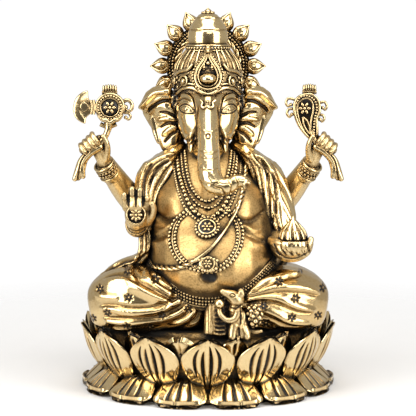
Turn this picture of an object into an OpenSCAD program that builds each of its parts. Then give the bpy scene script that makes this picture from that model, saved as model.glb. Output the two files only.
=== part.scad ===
/* [Overall] */
// Height of the figure, from the seat to the tip of the crown
figure_h = 123; // [105:1:150]
// Reach of the lotus petals from the centre
base_r = 50.5; // [44:0.5:62]

/* [Lotus base] */
// Height of the seat above the floor
seat_h = 27; // [25:0.5:33]
// Thickness of the round cushion on top of the plinth
cushion_t = 4; // [3:0.5:6]
// Height of the raised pad that the figure sits on
pad_h = 2; // [1:0.25:3]
// Wall of the hollow plinth
plinth_wall = 4; // [2.5:0.5:6]
// Thickness of the plinth's top plate
plate_t = 4.5; // [3:0.5:6]
// How far the plinth's foot stands inside the petal tips
foot_inset = 7.5; // [6:0.5:10]
// How much narrower the plinth's waist is than its foot
waist_in = 5; // [3:0.5:7]
// Petals in each of the three rows
petal_count = 14; // [10:1:18]
// Thickness of a petal
petal_t = 2.2; // [1.6:0.2:3.2]
// How far a petal's edges fall back behind its middle
petal_curl = 3; // [1:0.25:4]
// Gap left between petals
petal_gap = 0.3; // [0.2:0.1:0.6]

/* [Body] */
// Width of the belly
belly_w = 54; // [46:1:62]
// Diameter of the tenon that sets the body on the seat
tenon_d = 16; // [12:1:22]
// Depth of that tenon in the cushion
tenon_h = 4; // [2:0.5:4]
// Radial play of the tenons
tenon_play = 0.05; // [0.02:0.01:0.1]

/* [Jewellery] */
// Diameter of a bead of the long garland
garland_bead_d = 1.7; // [1.2:0.1:2.2]
// Diameter of a bead of the short necklaces
neck_bead_d = 1.4; // [1:0.1:1.8]
// Free space between two beads
bead_gap = 0.06; // [0.04:0.02:0.2]
// Width of the belt
belt_w = 3.2; // [2.4:0.2:4]
// Thickness of the sacred thread
thread_d = 1.6; // [1.2:0.1:2.2]
// Radius of the breast medallion
medallion_r = 4.6; // [3.6:0.1:5.6]
// Width of a bracelet
bracelet_w = 4.6; // [3.4:0.2:6]
// Wall of a bracelet
bracelet_t = 0.9; // [0.6:0.1:1.4]

/* [Crown and halo] */
// Radius of the crown's drum
drum_r = 8; // [6.5:0.5:9.5]
// Diameter of the crown's beads
crown_bead_d = 1.8; // [1.4:0.1:2.2]
// Radius of the halo's ring of beads
halo_r = 15.4; // [13.5:0.1:18]
// Width of the halo's ring
halo_ring_w = 3.4; // [2.6:0.2:4.4]
// Thickness of the halo
halo_t = 3; // [2:0.2:4]
// Petals around the halo
halo_petals_n = 16; // [12:1:20]

/* [Attributes] */
// Radius of the round shield on the axe and the noose
shield_r = 6; // [5:0.2:7]
// Thickness of the axe and the noose
plate_d = 3; // [2.2:0.2:4]
// Radius of the bowl of sweets
bowl_r = 6.8; // [5.6:0.2:8]

/* [Hidden] */

gold = "#C9A24A";
dark_gold = "#8A6A2C";
satin_gold = "#D8BC78";

// The figure is laid out on a canon of 123 parts from the seat to the crown's tip.
canon = 123;
u = figure_h / canon;
// A point of the figure, from its place over the seat's centre in canon parts.
function at(p) = [p[0] * u, p[1] * u, seat_h + p[2] * u];
// A station of a form: its place and its two half sizes, in canon parts.
function station(s) = concat(at(s), [s[3] * u, s[4] * u]);
function stations(list) = [for (s = list) station(s)];

// Small vector tools
function unit(v) = v / norm(v);
function xyz(v) = [v[0], v[1], v[2]];
function flip(list) = [for (s = list) concat([-s[0]], [for (i = [1:len(s) - 1]) s[i]])];

// A smooth curve through points: each value of a point is carried along.
function curve4(a, b, c, d, t) =
    0.5 * (2 * b + (c - a) * t + (2 * a - 5 * b + 4 * c - d) * t * t + (3 * b - a - 3 * c + d) * t * t * t);
function smooth(p, steps) = let (n = len(p)) [
    for (i = [0:n - 2]) for (s = [0:steps - 1])
        curve4(p[max(i - 1, 0)], p[i], p[i + 1], p[min(i + 2, n - 1)], s / steps),
    p[n - 1]
];

// Rings of a form along its stations. The first half size lies along side, squareness 1 is an ellipse.
function squarer(v, q) = sign(v) * pow(abs(v), q);
// Rings lie across the form's own line, or level where level is true.
function rings(c, n, side, q, low, level = false) = [
    for (i = [0:len(c) - 1])
        let (
            t = level ? [0, 0, 1] : unit(xyz(c[min(i + 1, len(c) - 1)]) - xyz(c[max(i - 1, 0)])),
            r = unit(side - (side * t) * t),
            s = cross(t, r)
        )
        [for (j = [0:n - 1])
            let (p = xyz(c[i]) + r * c[i][3] * squarer(cos(360 * j / n), q)
                    + s * c[i][4] * squarer(sin(360 * j / n), q))
            [p[0], p[1], max(p[2], low)]]
];
// Faces of a skin over m rings of n points, with an end of strips across each end ring
function strips(b, n) = [for (j = [0:n / 2 - 2])
    each [[b + j, b + j + 1, b + n - 2 - j], [b + j, b + n - 2 - j, b + n - 1 - j]]];
function turned(faces) = [for (f = faces) [f[0], f[2], f[1]]];
function skin(m, n) = concat(
    [for (i = [0:m - 2]) for (j = [0:n - 1]) let (k = (j + 1) % n)
        each [[i * n + j, (i + 1) * n + k, i * n + k], [i * n + j, (i + 1) * n + j, (i + 1) * n + k]]],
    strips(0, n),
    turned(strips((m - 1) * n, n))
);
module form(list, n = 12, steps = 3, side = [1, 0, 0], q = 1, low = 0, level = false) {
    r = rings(smooth(stations(list), steps), n, side, q, low, level);
    polyhedron([for (ring = r) each ring], skin(len(r), n), convexity = 6);
}
module capsule(a, b, ra, rb) {
    hull() {
        translate(at(a)) sphere(ra * u);
        translate(at(b)) sphere(rb * u);
    }
}
// A limb, finger or tail through [x, y, z, radius] points in canon parts
module limb(list) {
    for (i = [0:len(list) - 2]) capsule(xyz(list[i]), xyz(list[i + 1]), list[i][3], list[i + 1][3]);
}
// A string of beads along a path: as many as fit, evenly spaced
function lengths(p) = [for (i = 0, s = 0; i < len(p); i = i + 1,
    s = s + (i < len(p) ? norm(p[i] - p[i - 1]) : 0)) s];
function along(p, l, s) = [for (axis = [0:2]) lookup(s, [for (i = [0:len(p) - 1]) [l[i], p[i][axis]]])];
module string(p, d) {
    l = lengths(p);
    total = l[len(l) - 1];
    count = floor(total / (d + bead_gap));
    for (i = [0:count - 1]) translate(along(p, l, (i + 0.5) * total / count)) sphere(d = d, $fn = 24);
}

// ---------- Lotus base ----------
foot_r = base_r - foot_inset;
waist_r = foot_r - waist_in;
deck_r = foot_r + 0.8;
plinth_h = seat_h - pad_h - cushion_t;
waist_z = plinth_h / 3;
draft = 2;

module plinth() {
    // The outside narrows to a waist and spreads again behind the upper petals.
    color(dark_gold) difference() {
        rotate_extrude($fn = 96) polygon([
            [0, 0], [foot_r, 0], [foot_r, 0.8], [waist_r + 0.4, waist_z * 0.85], [waist_r, waist_z],
            [waist_r + waist_in * 0.5, plinth_h * 0.5], [foot_r - 1, plinth_h * 0.64],
            [deck_r - 0.3, plinth_h * 0.85], [deck_r, plinth_h], [0, plinth_h]
        ]);
        translate([0, 0, -1]) cylinder(
            r1 = waist_r - plinth_wall + draft / 2,
            r2 = waist_r - plinth_wall - draft,
            h = plinth_h - plate_t + 1, $fn = 96);
    }
}
module seat_cushion() {
    edge = cushion_t / 2;
    pad_r = deck_r - 6;
    color(dark_gold) translate([0, 0, plinth_h]) difference() {
        union() {
            cylinder(r = deck_r - 1 - edge, h = cushion_t, $fn = 96);
            rotate_extrude($fn = 96) translate([deck_r - 1 - edge, edge]) circle(edge, $fn = 32);
            cylinder(r = pad_r, h = cushion_t + pad_h, $fn = 96);
        }
        translate([0, 0, cushion_t + pad_h - tenon_h])
            cylinder(r = tenon_d / 2 + tenon_play, h = cushion_t, $fn = 64);
    }
}
// A petal's stations from root to tip: how far in from the reach, height, share of the free width,
// share of the thickness, share of the curl. Heights are shares of the plinth and seat.
upper_mid = [
    [10, 0.24, 0.5, 1.3, 0.4], [6.2, 0.34, 0.8, 1.2, 0.8], [3, 0.48, 0.96, 1.1, 1], [1.2, 0.64, 1, 1, 1],
    [0.4, 0.77, 0.9, 1, 0.8], [0, 0.87, 0.6, 0.8, 0.4], [-0.3, 0.94, 0.1, 0.5, 0]
];
inner_mid = [
    [6.2, 0.6, 0.6, 0.8, 0.2], [5.7, 0.76, 0.6, 0.7, 0.2], [5.2, 0.87, 0.42, 0.6, 0.15],
    [4.8, 0.95, 0.1, 0.4, 0]
];
lower_mid = [
    [11, 0.35, 0.6, 1.1, 0.5], [7.5, 0.29, 0.9, 1.1, 0.8], [4.2, 0.19, 0.98, 1, 0.8],
    [1.9, 0.105, 0.75, 0.7, 0.4], [0.7, 0.05, 0.2, 0.35, 0]
];
half_step = 180 / petal_count;
function petal_rings(mid, over = 0) = let (last = len(mid) - 1) [
    for (i = [0:last])
        let (
            m = mid[i], a = mid[max(i - 1, 0)], b = mid[min(i + 1, last)],
            // The line's own direction and the way out of it, as distance out and height
            run = unit([a[0] - b[0], (b[1] - a[1]) * seat_h]),
            out = [abs(run[1]), -run[0] * sign(run[1])],
            r = base_r - m[0] - over, z = m[1] * seat_h, t = petal_t * m[3], drop = petal_curl * m[4],
            half = m[2] * ((r - drop - t) * tan(half_step) - petal_gap)
        )
        [for (j = [0:9])
            let (k = j < 5 ? j / 2 - 1 : 1 - (j - 5) / 2, d = drop * k * k + (j < 5 ? 0 : t))
            [r - out[0] * d, half * k, max(z - out[1] * d, 0.02 * j)]]
];
module petal_row(mid, from, over = 0) {
    r = petal_rings(mid, over);
    for (i = [0:petal_count - 1]) rotate(from + i * 360 / petal_count)
        polyhedron([for (ring = r) each ring], skin(len(r), 10), convexity = 4);
}
module upper_petals() {
    color(satin_gold) petal_row(upper_mid, -90);
}
module inner_petals() {
    color(satin_gold) petal_row(inner_mid, -90 + half_step);
}
module lower_petals() {
    color(satin_gold) petal_row(lower_mid, -90 + half_step);
}

// ---------- Body ----------
wide = belly_w / 54;
torso_list = [
    [0, 0, 0, 24, 20], [1.5, -6.5, 9, 26.5 * wide, 28.5], [2.5, -10, 18, 27 * wide, 30.5],
    [3, -11, 27, 27 * wide, 29.5], [2.5, -9.5, 37, 26, 27.5], [1.5, -5.5, 47, 25, 24],
    [0.5, -2.5, 55, 23.5, 20.5], [0, -1.5, 61, 19.5, 17], [0, -1.5, 66, 12.5, 13],
    [0, -2, 70, 8.5, 10], [0, -3, 73, 7.5, 9]
];
torso_rows = smooth(stations(torso_list), 2);
function torso_value(z, i) = lookup(z, [for (s = torso_rows) [s[2], s[i]]]);
// The front or back of the body over a place in its front view
function torso_y(x, z, face = -1) =
    let (cx = torso_value(z, 0), w = torso_value(z, 3), k = min(abs(x - cx) / w, 0.999))
    torso_value(z, 1) + face * torso_value(z, 4) * sqrt(1 - k * k);
// A path of [x, z, face] in canon parts, laid on the body and lifted off it
function worn_path(list, lift, steps = 6) = [for (p = smooth(list, steps))
    let (q = at([p[0], 0, p[1]]), k = max(-1, min(1, p[2] * 1.2)),
        front = torso_y(q[0], q[2], -1) - lift, back = torso_y(q[0], q[2], 1) + lift)
    [q[0], k < 0 ? front : back, q[2]]];

module torso() {
    color(satin_gold) union() {
        r = rings(torso_rows, 24, [1, 0, 0], 1, seat_h, true);
        polyhedron([for (ring = r) each ring], skin(len(r), 24), convexity = 6);
        translate([0, 0, seat_h - tenon_h]) cylinder(d = tenon_d, h = tenon_h + 4, $fn = 64);
    }
}
// A folded leg under its cloth: knee first, then in to the middle
leg_list = [
    [-46.6, -17, 7.2, 3, 2.6], [-45.4, -17, 7.4, 8, 6.8], [-42, -17.5, 8, 13, 10.2],
    [-36, -18, 9.5, 17, 12.5], [-28, -18.5, 11, 19.5, 13.5], [-18, -19, 10.5, 20, 12],
    [-10, -20, 8, 19.5, 9.5], [-3, -24, 6.5, 15.5, 8], [1, -26, 5.5, 11, 6]
];
module right_leg() {
    color(gold) form(leg_list, 18, 2, [0, 1, 0], 0.75, seat_h);
}
module left_leg() {
    color(gold) form(flip(leg_list), 18, 2, [0, 1, 0], 0.75, seat_h);
}
module dhoti_pleat() {
    color(dark_gold) form([
        [4, -31, 13, 3, 2], [4, -34.5, 11.5, 4.5, 3], [4.2, -37.5, 8, 5.5, 3], [4.5, -39, 4, 6, 3],
        [4.5, -39.4, 0, 6.2, 3]
    ], 12, 2, [1, 0, 0], 0.8, seat_h);
}

// ---------- Jewellery worn on the body ----------
// The belt dips under the belly and rises over the hips.
belt_low = 9.5;
belt_high = 25;
function belt_path(lift, n) = [for (i = [0:n - 1])
    let (
        a = 360 * i / n,
        z = seat_h + u * (belt_low + (belt_high - belt_low) * (1 - pow(max(0, cos(a)), 2))),
        w = torso_value(z, 3) + lift, d = torso_value(z, 4) + lift
    )
    [torso_value(z, 0) + w * sin(a), torso_value(z, 1) - d * cos(a), z]];
module belt() {
    p = belt_path(0, 48);
    n = len(p);
    t = 1.4;
    // A band of four corners, closed on itself
    r = [for (i = [0:n - 1]) let (a = 360 * i / n, o = [sin(a), -cos(a), 0])
        [p[i] + o * t - [0, 0, belt_w / 2], p[i] + o * t + [0, 0, belt_w / 2],
         p[i] - o * t + [0, 0, belt_w / 2], p[i] - o * t - [0, 0, belt_w / 2]]];
    color(dark_gold) polyhedron([for (ring = r) each ring],
        [for (i = [0:n - 1]) for (j = [0:3]) let (k = (j + 1) % 4, m = (i + 1) % n)
            each [[i * 4 + j, m * 4 + k, m * 4 + j], [i * 4 + j, i * 4 + k, m * 4 + k]]], convexity = 8);
}
module belt_beads() {
    d = belt_w * 0.42;
    p = belt_path(1.4 + d * 0.35, 72);
    color(gold) for (side = [-1, 1]) translate([0, 0, side * belt_w * 0.26]) string(concat(p, [p[0]]), d);
}
module sacred_thread() {
    r = thread_d / 2;
    p = worn_path([[14.4, 65, -1], [14.4, 59, -1], [13.4, 53, -1], [10.2, 45, -1], [5, 37, -1],
        [-0.6, 31, -1], [-6.6, 27, -1], [-12.6, 24.6, -1], [-20, 24, -1]], r * 0.5, 3);
    c = [for (q = p) concat(q, [r, r])];
    k = rings(c, 8, [0, 1, 0.2], 1, 0);
    color(gold) polyhedron([for (ring = k) each ring], skin(len(k), 8), convexity = 6);
}
module neck_beads() {
    color(gold) for (i = [0:2]) let (o = i * 2.3)
        string(worn_path([[-12 - o, 66 - i, -1], [-11.5 - o, 58 - o, -1], [-8 - o * 0.8, 51 - o, -1],
            [0, 46.5 - o, -1], [8 + o * 0.8, 51 - o, -1], [11.5 + o, 58 - o, -1], [12 + o, 66 - i, -1]],
            neck_bead_d * 0.25), neck_bead_d);
}
garland_loop = [
    [-4.5, 46.4], [-9.4, 43.2], [-12, 39], [-12.3, 33.5], [-9.6, 28.6], [-4.4, 26], [0.4, 25.4],
    [5, 26.6], [9.2, 30.6], [11.2, 36.5], [9.8, 42.2], [5, 46.4]
];
garland_mid = 36;
module garland_beads() {
    // Two strings about the same loop, a bead and a little apart
    color(gold) for (k = [1, 1.17])
        string(worn_path([for (p = garland_loop) [p[0] * k, garland_mid + (p[1] - garland_mid) * k, -1]],
            garland_bead_d * 0.25), garland_bead_d);
}
module flower(r, d, n = 6) {
    // A ring of round petals about a boss, as separate buttons that stand on a disc
    for (i = [0:n - 1]) rotate(i * 360 / n) translate([r * 0.6, 0, 0]) sphere(d, $fn = 24);
    sphere(d * 0.9, $fn = 24);
}
module medallion(r, t) {
    // A disc with a dished face, a raised rim and a flower
    difference() {
        cylinder(r = r, h = t, $fn = 64);
        translate([0, 0, t - 0.6]) cylinder(r = r * 0.6, h = 1, $fn = 64);
    }
    translate([0, 0, t - 0.6]) flower(r * 0.62, r * 0.13);
}
module on_body(x, z, lean, sink) {
    q = at([x, 0, z]);
    translate([q[0], torso_y(q[0], q[2]) + sink, q[2]]) rotate([90 + lean, 0, 0]) children();
}
module breast_medallion() {
    color(gold) on_body(-0.2, 39.8, 18, 0.8) medallion(medallion_r, 2.4);
}
module navel_pendant() {
    color(gold) on_body(0.2, 27, 6, 0.8) {
        cylinder(r = 3.4, h = 3.4, $fn = 48);
        translate([0, 0, 3.4]) flower(2.4, 0.75);
    }
}

// ---------- Shawl ----------
shawl_list = [
    [-9, -3, 69, 3, 2.6], [-13.5, -5, 66, 6, 3.4], [-19, -7, 60.5, 8.5, 4.6], [-21.5, -10.5, 54, 8, 5],
    [-22.8, -14.5, 47, 5.6, 4.2], [-23.2, -18, 40, 3.4, 3], [-23.5, -19.5, 36.5, 1.6, 1.6]
];
module shawl_right() {
    color(gold) form(shawl_list, 14, 2, [1, -0.2, 0.9], 0.9);
}
shawl_left_list = [
    [9, -3, 69, 3, 2.6], [14, -5, 66.5, 6, 3.6], [20, -7, 61, 8.5, 5], [24, -10, 54, 8, 5.4],
    [27, -14, 46, 7, 5], [29, -18, 38.5, 5.4, 4.2], [30, -20, 33.5, 3.2, 3]
];
module shawl_left() {
    color(gold) form(shawl_left_list, 14, 2, [1, 0.2, -0.9], 0.9);
}
module shawl_back() {
    color(gold) form([
        [-24, 4, 52, 6, 2], [-20, 14, 57, 8, 3], [-11, 18, 53, 9.5, 3.2], [0, 18.6, 47, 11, 3.4],
        [11, 18, 53, 9.5, 3.2], [20, 14, 57, 8, 3], [24, 4, 52, 6, 2]
    ], 12, 3, [0, 0, 1], 0.8);
}
module shawl_tail() {
    color(gold) form([
        [-25, -18, 40, 2.5, 2], [-24, -18, 33, 4, 2.6], [-24.5, -18, 27.5, 5, 2.8],
        [-29, -18, 24.5, 5.6, 2.4], [-35, -17, 22.6, 5.6, 2], [-40.5, -15.5, 18.5, 4.6, 1.6],
        [-43, -14.5, 14.5, 3, 1.2]
    ], 12, 2, [0.35, 1, 0.25], 0.8);
}

// ---------- Arms and hands ----------
module front_right_arm() {
    color(satin_gold) form([
        [-17, 1, 61, 5, 5], [-19.5, 0.5, 57, 6.8, 6.8], [-23.5, -1, 49, 6.2, 6.2],
        [-26.5, -4, 42.5, 5.6, 5.4], [-27.4, -10, 39, 4.8, 4.8], [-27.6, -17, 38.6, 4.2, 4.2],
        [-27.4, -24, 40.5, 3.8, 3.6]
    ], 12, 2, [1, 0, 0.2]);
}
module front_left_arm() {
    color(satin_gold) form([
        [17, 1, 61, 5, 5], [19.5, 0.5, 57, 6.8, 6.8], [24.5, -1, 49, 6.2, 6.2],
        [28.5, -4, 41.5, 5.6, 5.4], [30, -10, 36, 4.8, 4.8], [30.6, -17, 33.6, 4.4, 4.2],
        [31, -23.5, 33, 4, 3.6]
    ], 12, 2, [1, 0, 0.2]);
}
rear_arm_list = [
    [-13, 9, 60, 5.5, 5.5], [-17, 9.5, 55.5, 6.4, 6.4], [-23, 8.5, 48.6, 6.2, 6],
    [-28.4, 6.5, 45.5, 5.8, 5.8], [-32.6, 3, 49.5, 5.4, 5.2], [-36.2, -1, 55, 4.7, 4.6],
    [-39.5, -5, 60.6, 4, 3.9], [-41, -6.8, 63.4, 3.6, 3.5]
];
module rear_right_arm() {
    color(satin_gold) form(rear_arm_list, 12, 2, [0, 1, 0]);
}
module rear_left_arm() {
    color(satin_gold) form(flip(rear_arm_list), 12, 2, [0, 1, 0]);
}
module bracelet(from, to, r) {
    a = at(from);
    b = at(to);
    v = unit(b - a);
    translate(a) rotate([0, acos(v[2]), atan2(v[1], v[0])]) {
        for (z = [0, bracelet_w - bracelet_t]) translate([0, 0, z]) rotate_extrude($fn = 48)
            translate([r + bracelet_t / 2, bracelet_t / 2]) circle(bracelet_t * 0.75, $fn = 16);
        difference() {
            cylinder(r = r + bracelet_t, h = bracelet_w, $fn = 48);
            translate([0, 0, -1]) cylinder(r = r - bracelet_t, h = bracelet_w + 2, $fn = 48);
        }
    }
}
module bracelets() {
    color(gold) {
        bracelet([-38.6, -3.9, 59.2], [-41, -6.8, 63.4], 4.1 * u);
        bracelet([38.6, -3.9, 59.2], [41, -6.8, 63.4], 4.1 * u);
        bracelet([-27.5, -19, 38.9], [-27.4, -24, 40.5], 3.9 * u);
        bracelet([30.7, -18, 33.5], [31, -23.5, 33], 4.2 * u);
    }
}
// The open hand, palm to the front and fingers up
module front_right_hand() {
    hx = -27.2;
    hy = -27.5;
    color(satin_gold) {
        $fn = 10;
        // The wrist comes out of the bracelet.
        capsule([hx - 0.2, -21.5, 39.8], [hx, hy + 1, 42], 3.2, 3);
        hull() {
            translate(at([hx - 2.6, hy, 38.6])) sphere(2.6 * u);
            translate(at([hx + 2.6, hy, 38.4])) sphere(2.8 * u);
            translate(at([hx - 4.4, hy, 48])) sphere(1.9 * u);
            translate(at([hx + 4, hy, 48])) sphere(1.9 * u);
        }
        for (i = [0:3]) let (x = hx - 4.7 + 3.05 * i, top = 55.3 + 1.2 * sin(45 + 60 * i)) {
            capsule([x, hy, 48], [x, hy - 0.4, 52], 1.5, 1.45);
            capsule([x, hy - 0.4, 52], [x, hy + 0.2, top], 1.45, 1.3);
        }
        capsule([hx + 4.2, hy - 0.8, 42.5], [hx + 6.2, hy - 1.6, 47], 2, 1.6);
        capsule([hx + 6.2, hy - 1.6, 47], [hx + 6, hy - 2, 50.6], 1.6, 1.2);
    }
}
module palm_rosette() {
    q = at([-27.2, -29.3, 45.5]);
    color(gold) translate(q) rotate([90, 0, 0]) {
        difference() {
            cylinder(r = 4.2 * u, h = 0.9, $fn = 48);
            translate([0, 0, 0.4]) cylinder(r = 3.4 * u, h = 1, $fn = 48);
        }
        translate([0, 0, 0.4]) flower(3.1 * u, 0.72 * u, 8);
    }
}
bowl_at = [32.4, -32.5, 30];
module front_left_hand() {
    // Palm up, its fingers curled in a boat shape under the dish
    b = bowl_at;
    $fn = 10;
    color(satin_gold) {
        limb([[b[0] - 6.4, b[1] + 11, 3.8 + b[2], 4.2], [b[0] - 4.8, b[1] + 6, 2.4 + b[2], 4.2],
            [b[0] - 2.4, b[1] + 1.5, 1.4 + b[2], 3.8], [b[0] + 1, b[1], 1 + b[2], 3.2]]);
        for (f = [[-4, 0.6], [-1.6, -0.9], [1.2, -1.6], [4, -1.4]]) let (y = b[1] + f[0], z = b[2] + f[1])
            limb([[b[0] - 7, y + 4, z + 2.6, 1.8], [b[0] - 3.4, y, z - 0.1, 1.7],
                [b[0] + 1.2, y, z - 0.4, 1.6], [b[0] + 5.2, y + 1, z + 1.6, 1.6],
                [b[0] + 6.6, y + 1.6, z + 4, 1.3]]);
        limb([[b[0] - 7.8, b[1] + 2.6, b[2] + 4.4, 2], [b[0] - 6, b[1] - 1.8, b[2] + 4.4, 1.5],
            [b[0] - 3, b[1] - 4.8, b[2] + 3.6, 1.2]]);
    }
}
module sweet_bowl() {
    // A shallow dish with a rolled rim
    h = 4.6;
    color(gold) translate(at([bowl_at[0], bowl_at[1], bowl_at[2] + 0.6])) {
        rotate_extrude($fn = 64) difference() {
            intersection() {
                translate([0, bowl_r]) circle(bowl_r * 1.12, $fn = 96);
                translate([0, 0]) square([bowl_r * 2, h]);
            }
            translate([0, h - 1]) square([bowl_r * 0.62, 2]);
        }
    }
}
module modak() {
    // A pleated sweet with a drawn up tip
    c = at([bowl_at[0], bowl_at[1], bowl_at[2] + 0.6]) + [0, 0, 3.6];
    r = bowl_r * 0.82;
    color(gold) translate(c) rotate_extrude($fn = 48) intersection() {
        union() {
            translate([0, r * 0.35]) circle(r, $fn = 64);
            polygon([[0, 0], [r * 0.9, r * 0.95], [r * 0.5, r * 1.35], [r * 0.14, r * 1.7], [0, r * 1.8]]);
        }
        square([r * 2, r * 3]);
    }
}
// A closed hand about a grip: its back, a slanting row of curled fingers and the thumb up the neck
module fist(m) {
    $fn = 10;
    color(satin_gold) {
        limb([[m * 39.8, -5.8, 60.8, 3.5], [m * 41.2, -7.8, 64.2, 3], [m * 42.8, -9.4, 67.6, 2.9],
            [m * 44.6, -10, 70.4, 2.7]]);
        limb([[m * 42.6, -10, 71.8, 2], [m * 45.4, -10, 70, 2.4], [m * 48.6, -10, 68, 2.1]]);
        for (i = [0:3]) let (x = 44.2 + 1.55 * i, z = 72.2 - 1.4 * i, r = 1.08 - 0.06 * i)
            limb([[m * (x + 1.3), -9.8, z + 1.9, r], [m * (x + 0.9), -12.6, z + 1.3, r],
                [m * (x - 0.5), -13.7, z - 0.5, r], [m * (x - 1.5), -13, z - 1.8, r * 0.85]]);
        limb([[m * 40.2, -9.4, 64.4, 1.7], [m * 39.5, -11, 67.6, 1.4], [m * 39.7, -12, 70.6, 1.2],
            [m * 41, -12.4, 73.2, 1.05]]);
    }
}
module rear_right_hand() {
    fist(-1);
}
module rear_left_hand() {
    fist(1);
}

// ---------- What the rear hands hold ----------
shield_at = [38.2, -11, 84.6];
module shield(m) {
    // A round plate with a rim of beads and a flower
    translate(at([m * shield_at[0], shield_at[1], shield_at[2]])) rotate([90, 0, 0])
        translate([0, 0, -plate_d / 2]) {
        difference() {
            cylinder(r = shield_r, h = plate_d, $fn = 64);
            for (z = [-1, plate_d - 0.7]) translate([0, 0, z])
                cylinder(r = shield_r * 0.64, h = 1.7, $fn = 64);
        }
        for (z = [0.7, plate_d - 0.7]) translate([0, 0, z]) flower(shield_r * 0.62, shield_r * 0.14);
    }
}
module scroll(r, t) {
    // A curled tendril: most of a ring with a bead at its end
    rotate_extrude(angle = 270, $fn = 48) translate([r, 0]) circle(t, $fn = 16);
    translate([0, -r, 0]) sphere(t * 1.35, $fn = 24);
}
module top_cap(m, z) {
    // A short ribbed tab above the shield
    s = at([m * shield_at[0], shield_at[1], shield_at[2]]);
    translate([s[0], s[1], s[2] + z]) for (i = [-1:1]) translate([i * 1.7, 0, 0]) rotate([90, 0, 0])
        cylinder(r = 1.3, h = plate_d * 0.8, center = true, $fn = 24);
}
blade_outline = [
    [0.6, 1.6], [-1.6, 2.3], [-2.5, 4.1], [-2.9, 6.5], [-5.3, 5.7], [-7.3, 3.7], [-8.2, 1.3],
    [-8.4, -1.1], [-7.7, -3.5], [-6.1, -5.2], [-3.7, -6.2], [-3.3, -4.1], [-1.7, -2.5], [0.6, -1.6]
];
module axe() {
    s = at([-shield_at[0], shield_at[1], shield_at[2]]);
    color(gold) {
        shield(-1);
        // The blade: a crescent joined to the shield by a waisted neck
        translate(s) rotate([90, 0, 0]) translate([-shield_r, 0, -plate_d * 0.3])
            linear_extrude(plate_d * 0.6) polygon(blade_outline);
        translate([s[0] + shield_r + 1.5, s[1], s[2] + 0.6]) rotate([90, 0, 0]) scroll(1.9, 0.7);
        top_cap(-1, shield_r + 0.8);
        // The stem down to the grip
        translate([s[0] - 0.4, s[1], s[2] - shield_r - 3.4 * u])
            cylinder(r1 = 1.6, r2 = 3, h = 3.4 * u + 1, $fn = 32);
    }
}
// The noose's outline in millimetres, for a shield of 6
noose_outline = [
    [1.2, 5.4], [-2.6, 4.4], [-4.6, 1.6], [-4.6, -2.2], [-3, -6.8], [-0.4, -10.4], [2.2, -12.6],
    [4.4, -12], [4.7, -9], [4.5, -5.2], [5.7, -1.4], [5.1, 2.4], [3.4, 4.6]
];
module noose() {
    s = at([shield_at[0], shield_at[1], shield_at[2]]);
    k = shield_r / 6;
    mid = [-0.1, -1.5];
    // Its point reaches down to the hand, whatever the figure's height.
    outline = [for (p = noose_outline) [p[0], p[1] * (p[1] < 0 ? u : 1)]];
    color(gold) {
        // A loop drawn down to the grip, sunk inside its rim, with a flower in it
        translate(s) rotate([90, 0, 0]) translate([0, 0, -plate_d / 2]) {
            difference() {
                linear_extrude(plate_d) polygon(outline * k);
                for (z = [-1, plate_d - 0.7]) translate([0, 0, z]) linear_extrude(1.7)
                    polygon([for (p = outline) (mid + (p - mid) * 0.78) * k]);
            }
            for (z = [0.7, plate_d - 0.7]) translate([-0.4 * k, -0.4 * k, z])
                flower(shield_r * 0.48, shield_r * 0.12);
        }
        for (x = [-6.1, 7.2]) translate([s[0] + x * k, s[1], s[2]]) rotate([90, 0, 0]) scroll(1.9, 0.7);
        top_cap(1, shield_r + 0.6);
    }
}
ribbon_list = [
    [-39.2, -11, 76, 1.6, 1.3], [-41.4, -11, 73.2, 1.9, 1.4], [-45.4, -11, 68, 2, 1.4],
    [-48.8, -10.6, 63.4, 2, 1.3], [-50.6, -10, 58.8, 2.4, 1.2], [-51.2, -10, 55.4, 3.4, 1.2]
];
module axe_ribbon() {
    color(gold) form(ribbon_list, 8, 3, [1, 0, 0.6], 0.8);
}
module noose_ribbon() {
    color(gold) form(flip(ribbon_list), 8, 3, [1, 0, -0.6], 0.8);
}

// ---------- Head ----------
head_top = 98;
crown_tenon_d = 10;
crown_tenon_h = 4;
module head() {
    color(satin_gold) union() {
        form([
            [0, -10, 63.5, 3.4, 5], [0, -10, 66.5, 6.5, 9.5], [0, -9.5, 70.5, 9.6, 13],
            [0, -8.5, 76, 12, 14.6], [0, -7.5, 82, 13, 15], [0, -6.4, 87, 12.6, 14],
            [0, -4.6, 91, 11.6, 11.8], [0, -4, head_top, 11.2, 11.2]
        ], 20, 2, [1, 0, 0], 0.92, 0, true);
        translate(at([0, crown_y, head_top]) - [0, 0, 2])
            cylinder(d = crown_tenon_d, h = 2 + crown_tenon_h, $fn = 48);
    }
}
trunk_list = [
    [0, -16, 91, 2.4, 2.8], [0, -18.2, 88, 3.6, 3.3], [0, -20.6, 83.5, 4.6, 3.9],
    [0, -23.8, 77.5, 5.2, 4.2], [0.2, -28.6, 70, 5.4, 4.3], [0.3, -33.2, 64, 5.6, 4.5],
    [0.8, -36.8, 59.6, 5.6, 4.6], [2.8, -38.8, 57, 4.8, 4.3], [6, -39.8, 56.2, 3.6, 3.5],
    [9, -40.3, 57.2, 3, 3], [11.6, -40.7, 58.4, 2.7, 2.6], [14, -41.1, 58, 2.4, 2.3],
    [15.4, -41.4, 56.6, 2, 1.9]
];
module trunk() {
    color(gold) form(trunk_list, 14, 2, [0, 1, 0]);
}
ear_list = [
    [-15.6, -6.6, 90.6, 2.6, 1.3], [-18, -5.4, 88.6, 5.6, 1.8], [-19.8, -4.4, 85, 7.8, 1.9],
    [-18.6, -4, 81.4, 7.4, 1.9], [-16.8, -4.2, 76.6, 6, 1.9], [-15.9, -4.6, 72, 4.8, 1.8],
    [-15.2, -5, 67.6, 3.2, 1.6]
];
module right_ear() {
    color(gold) form(ear_list, 12, 2, [1, -0.45, -0.25], 0.9);
}
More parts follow.
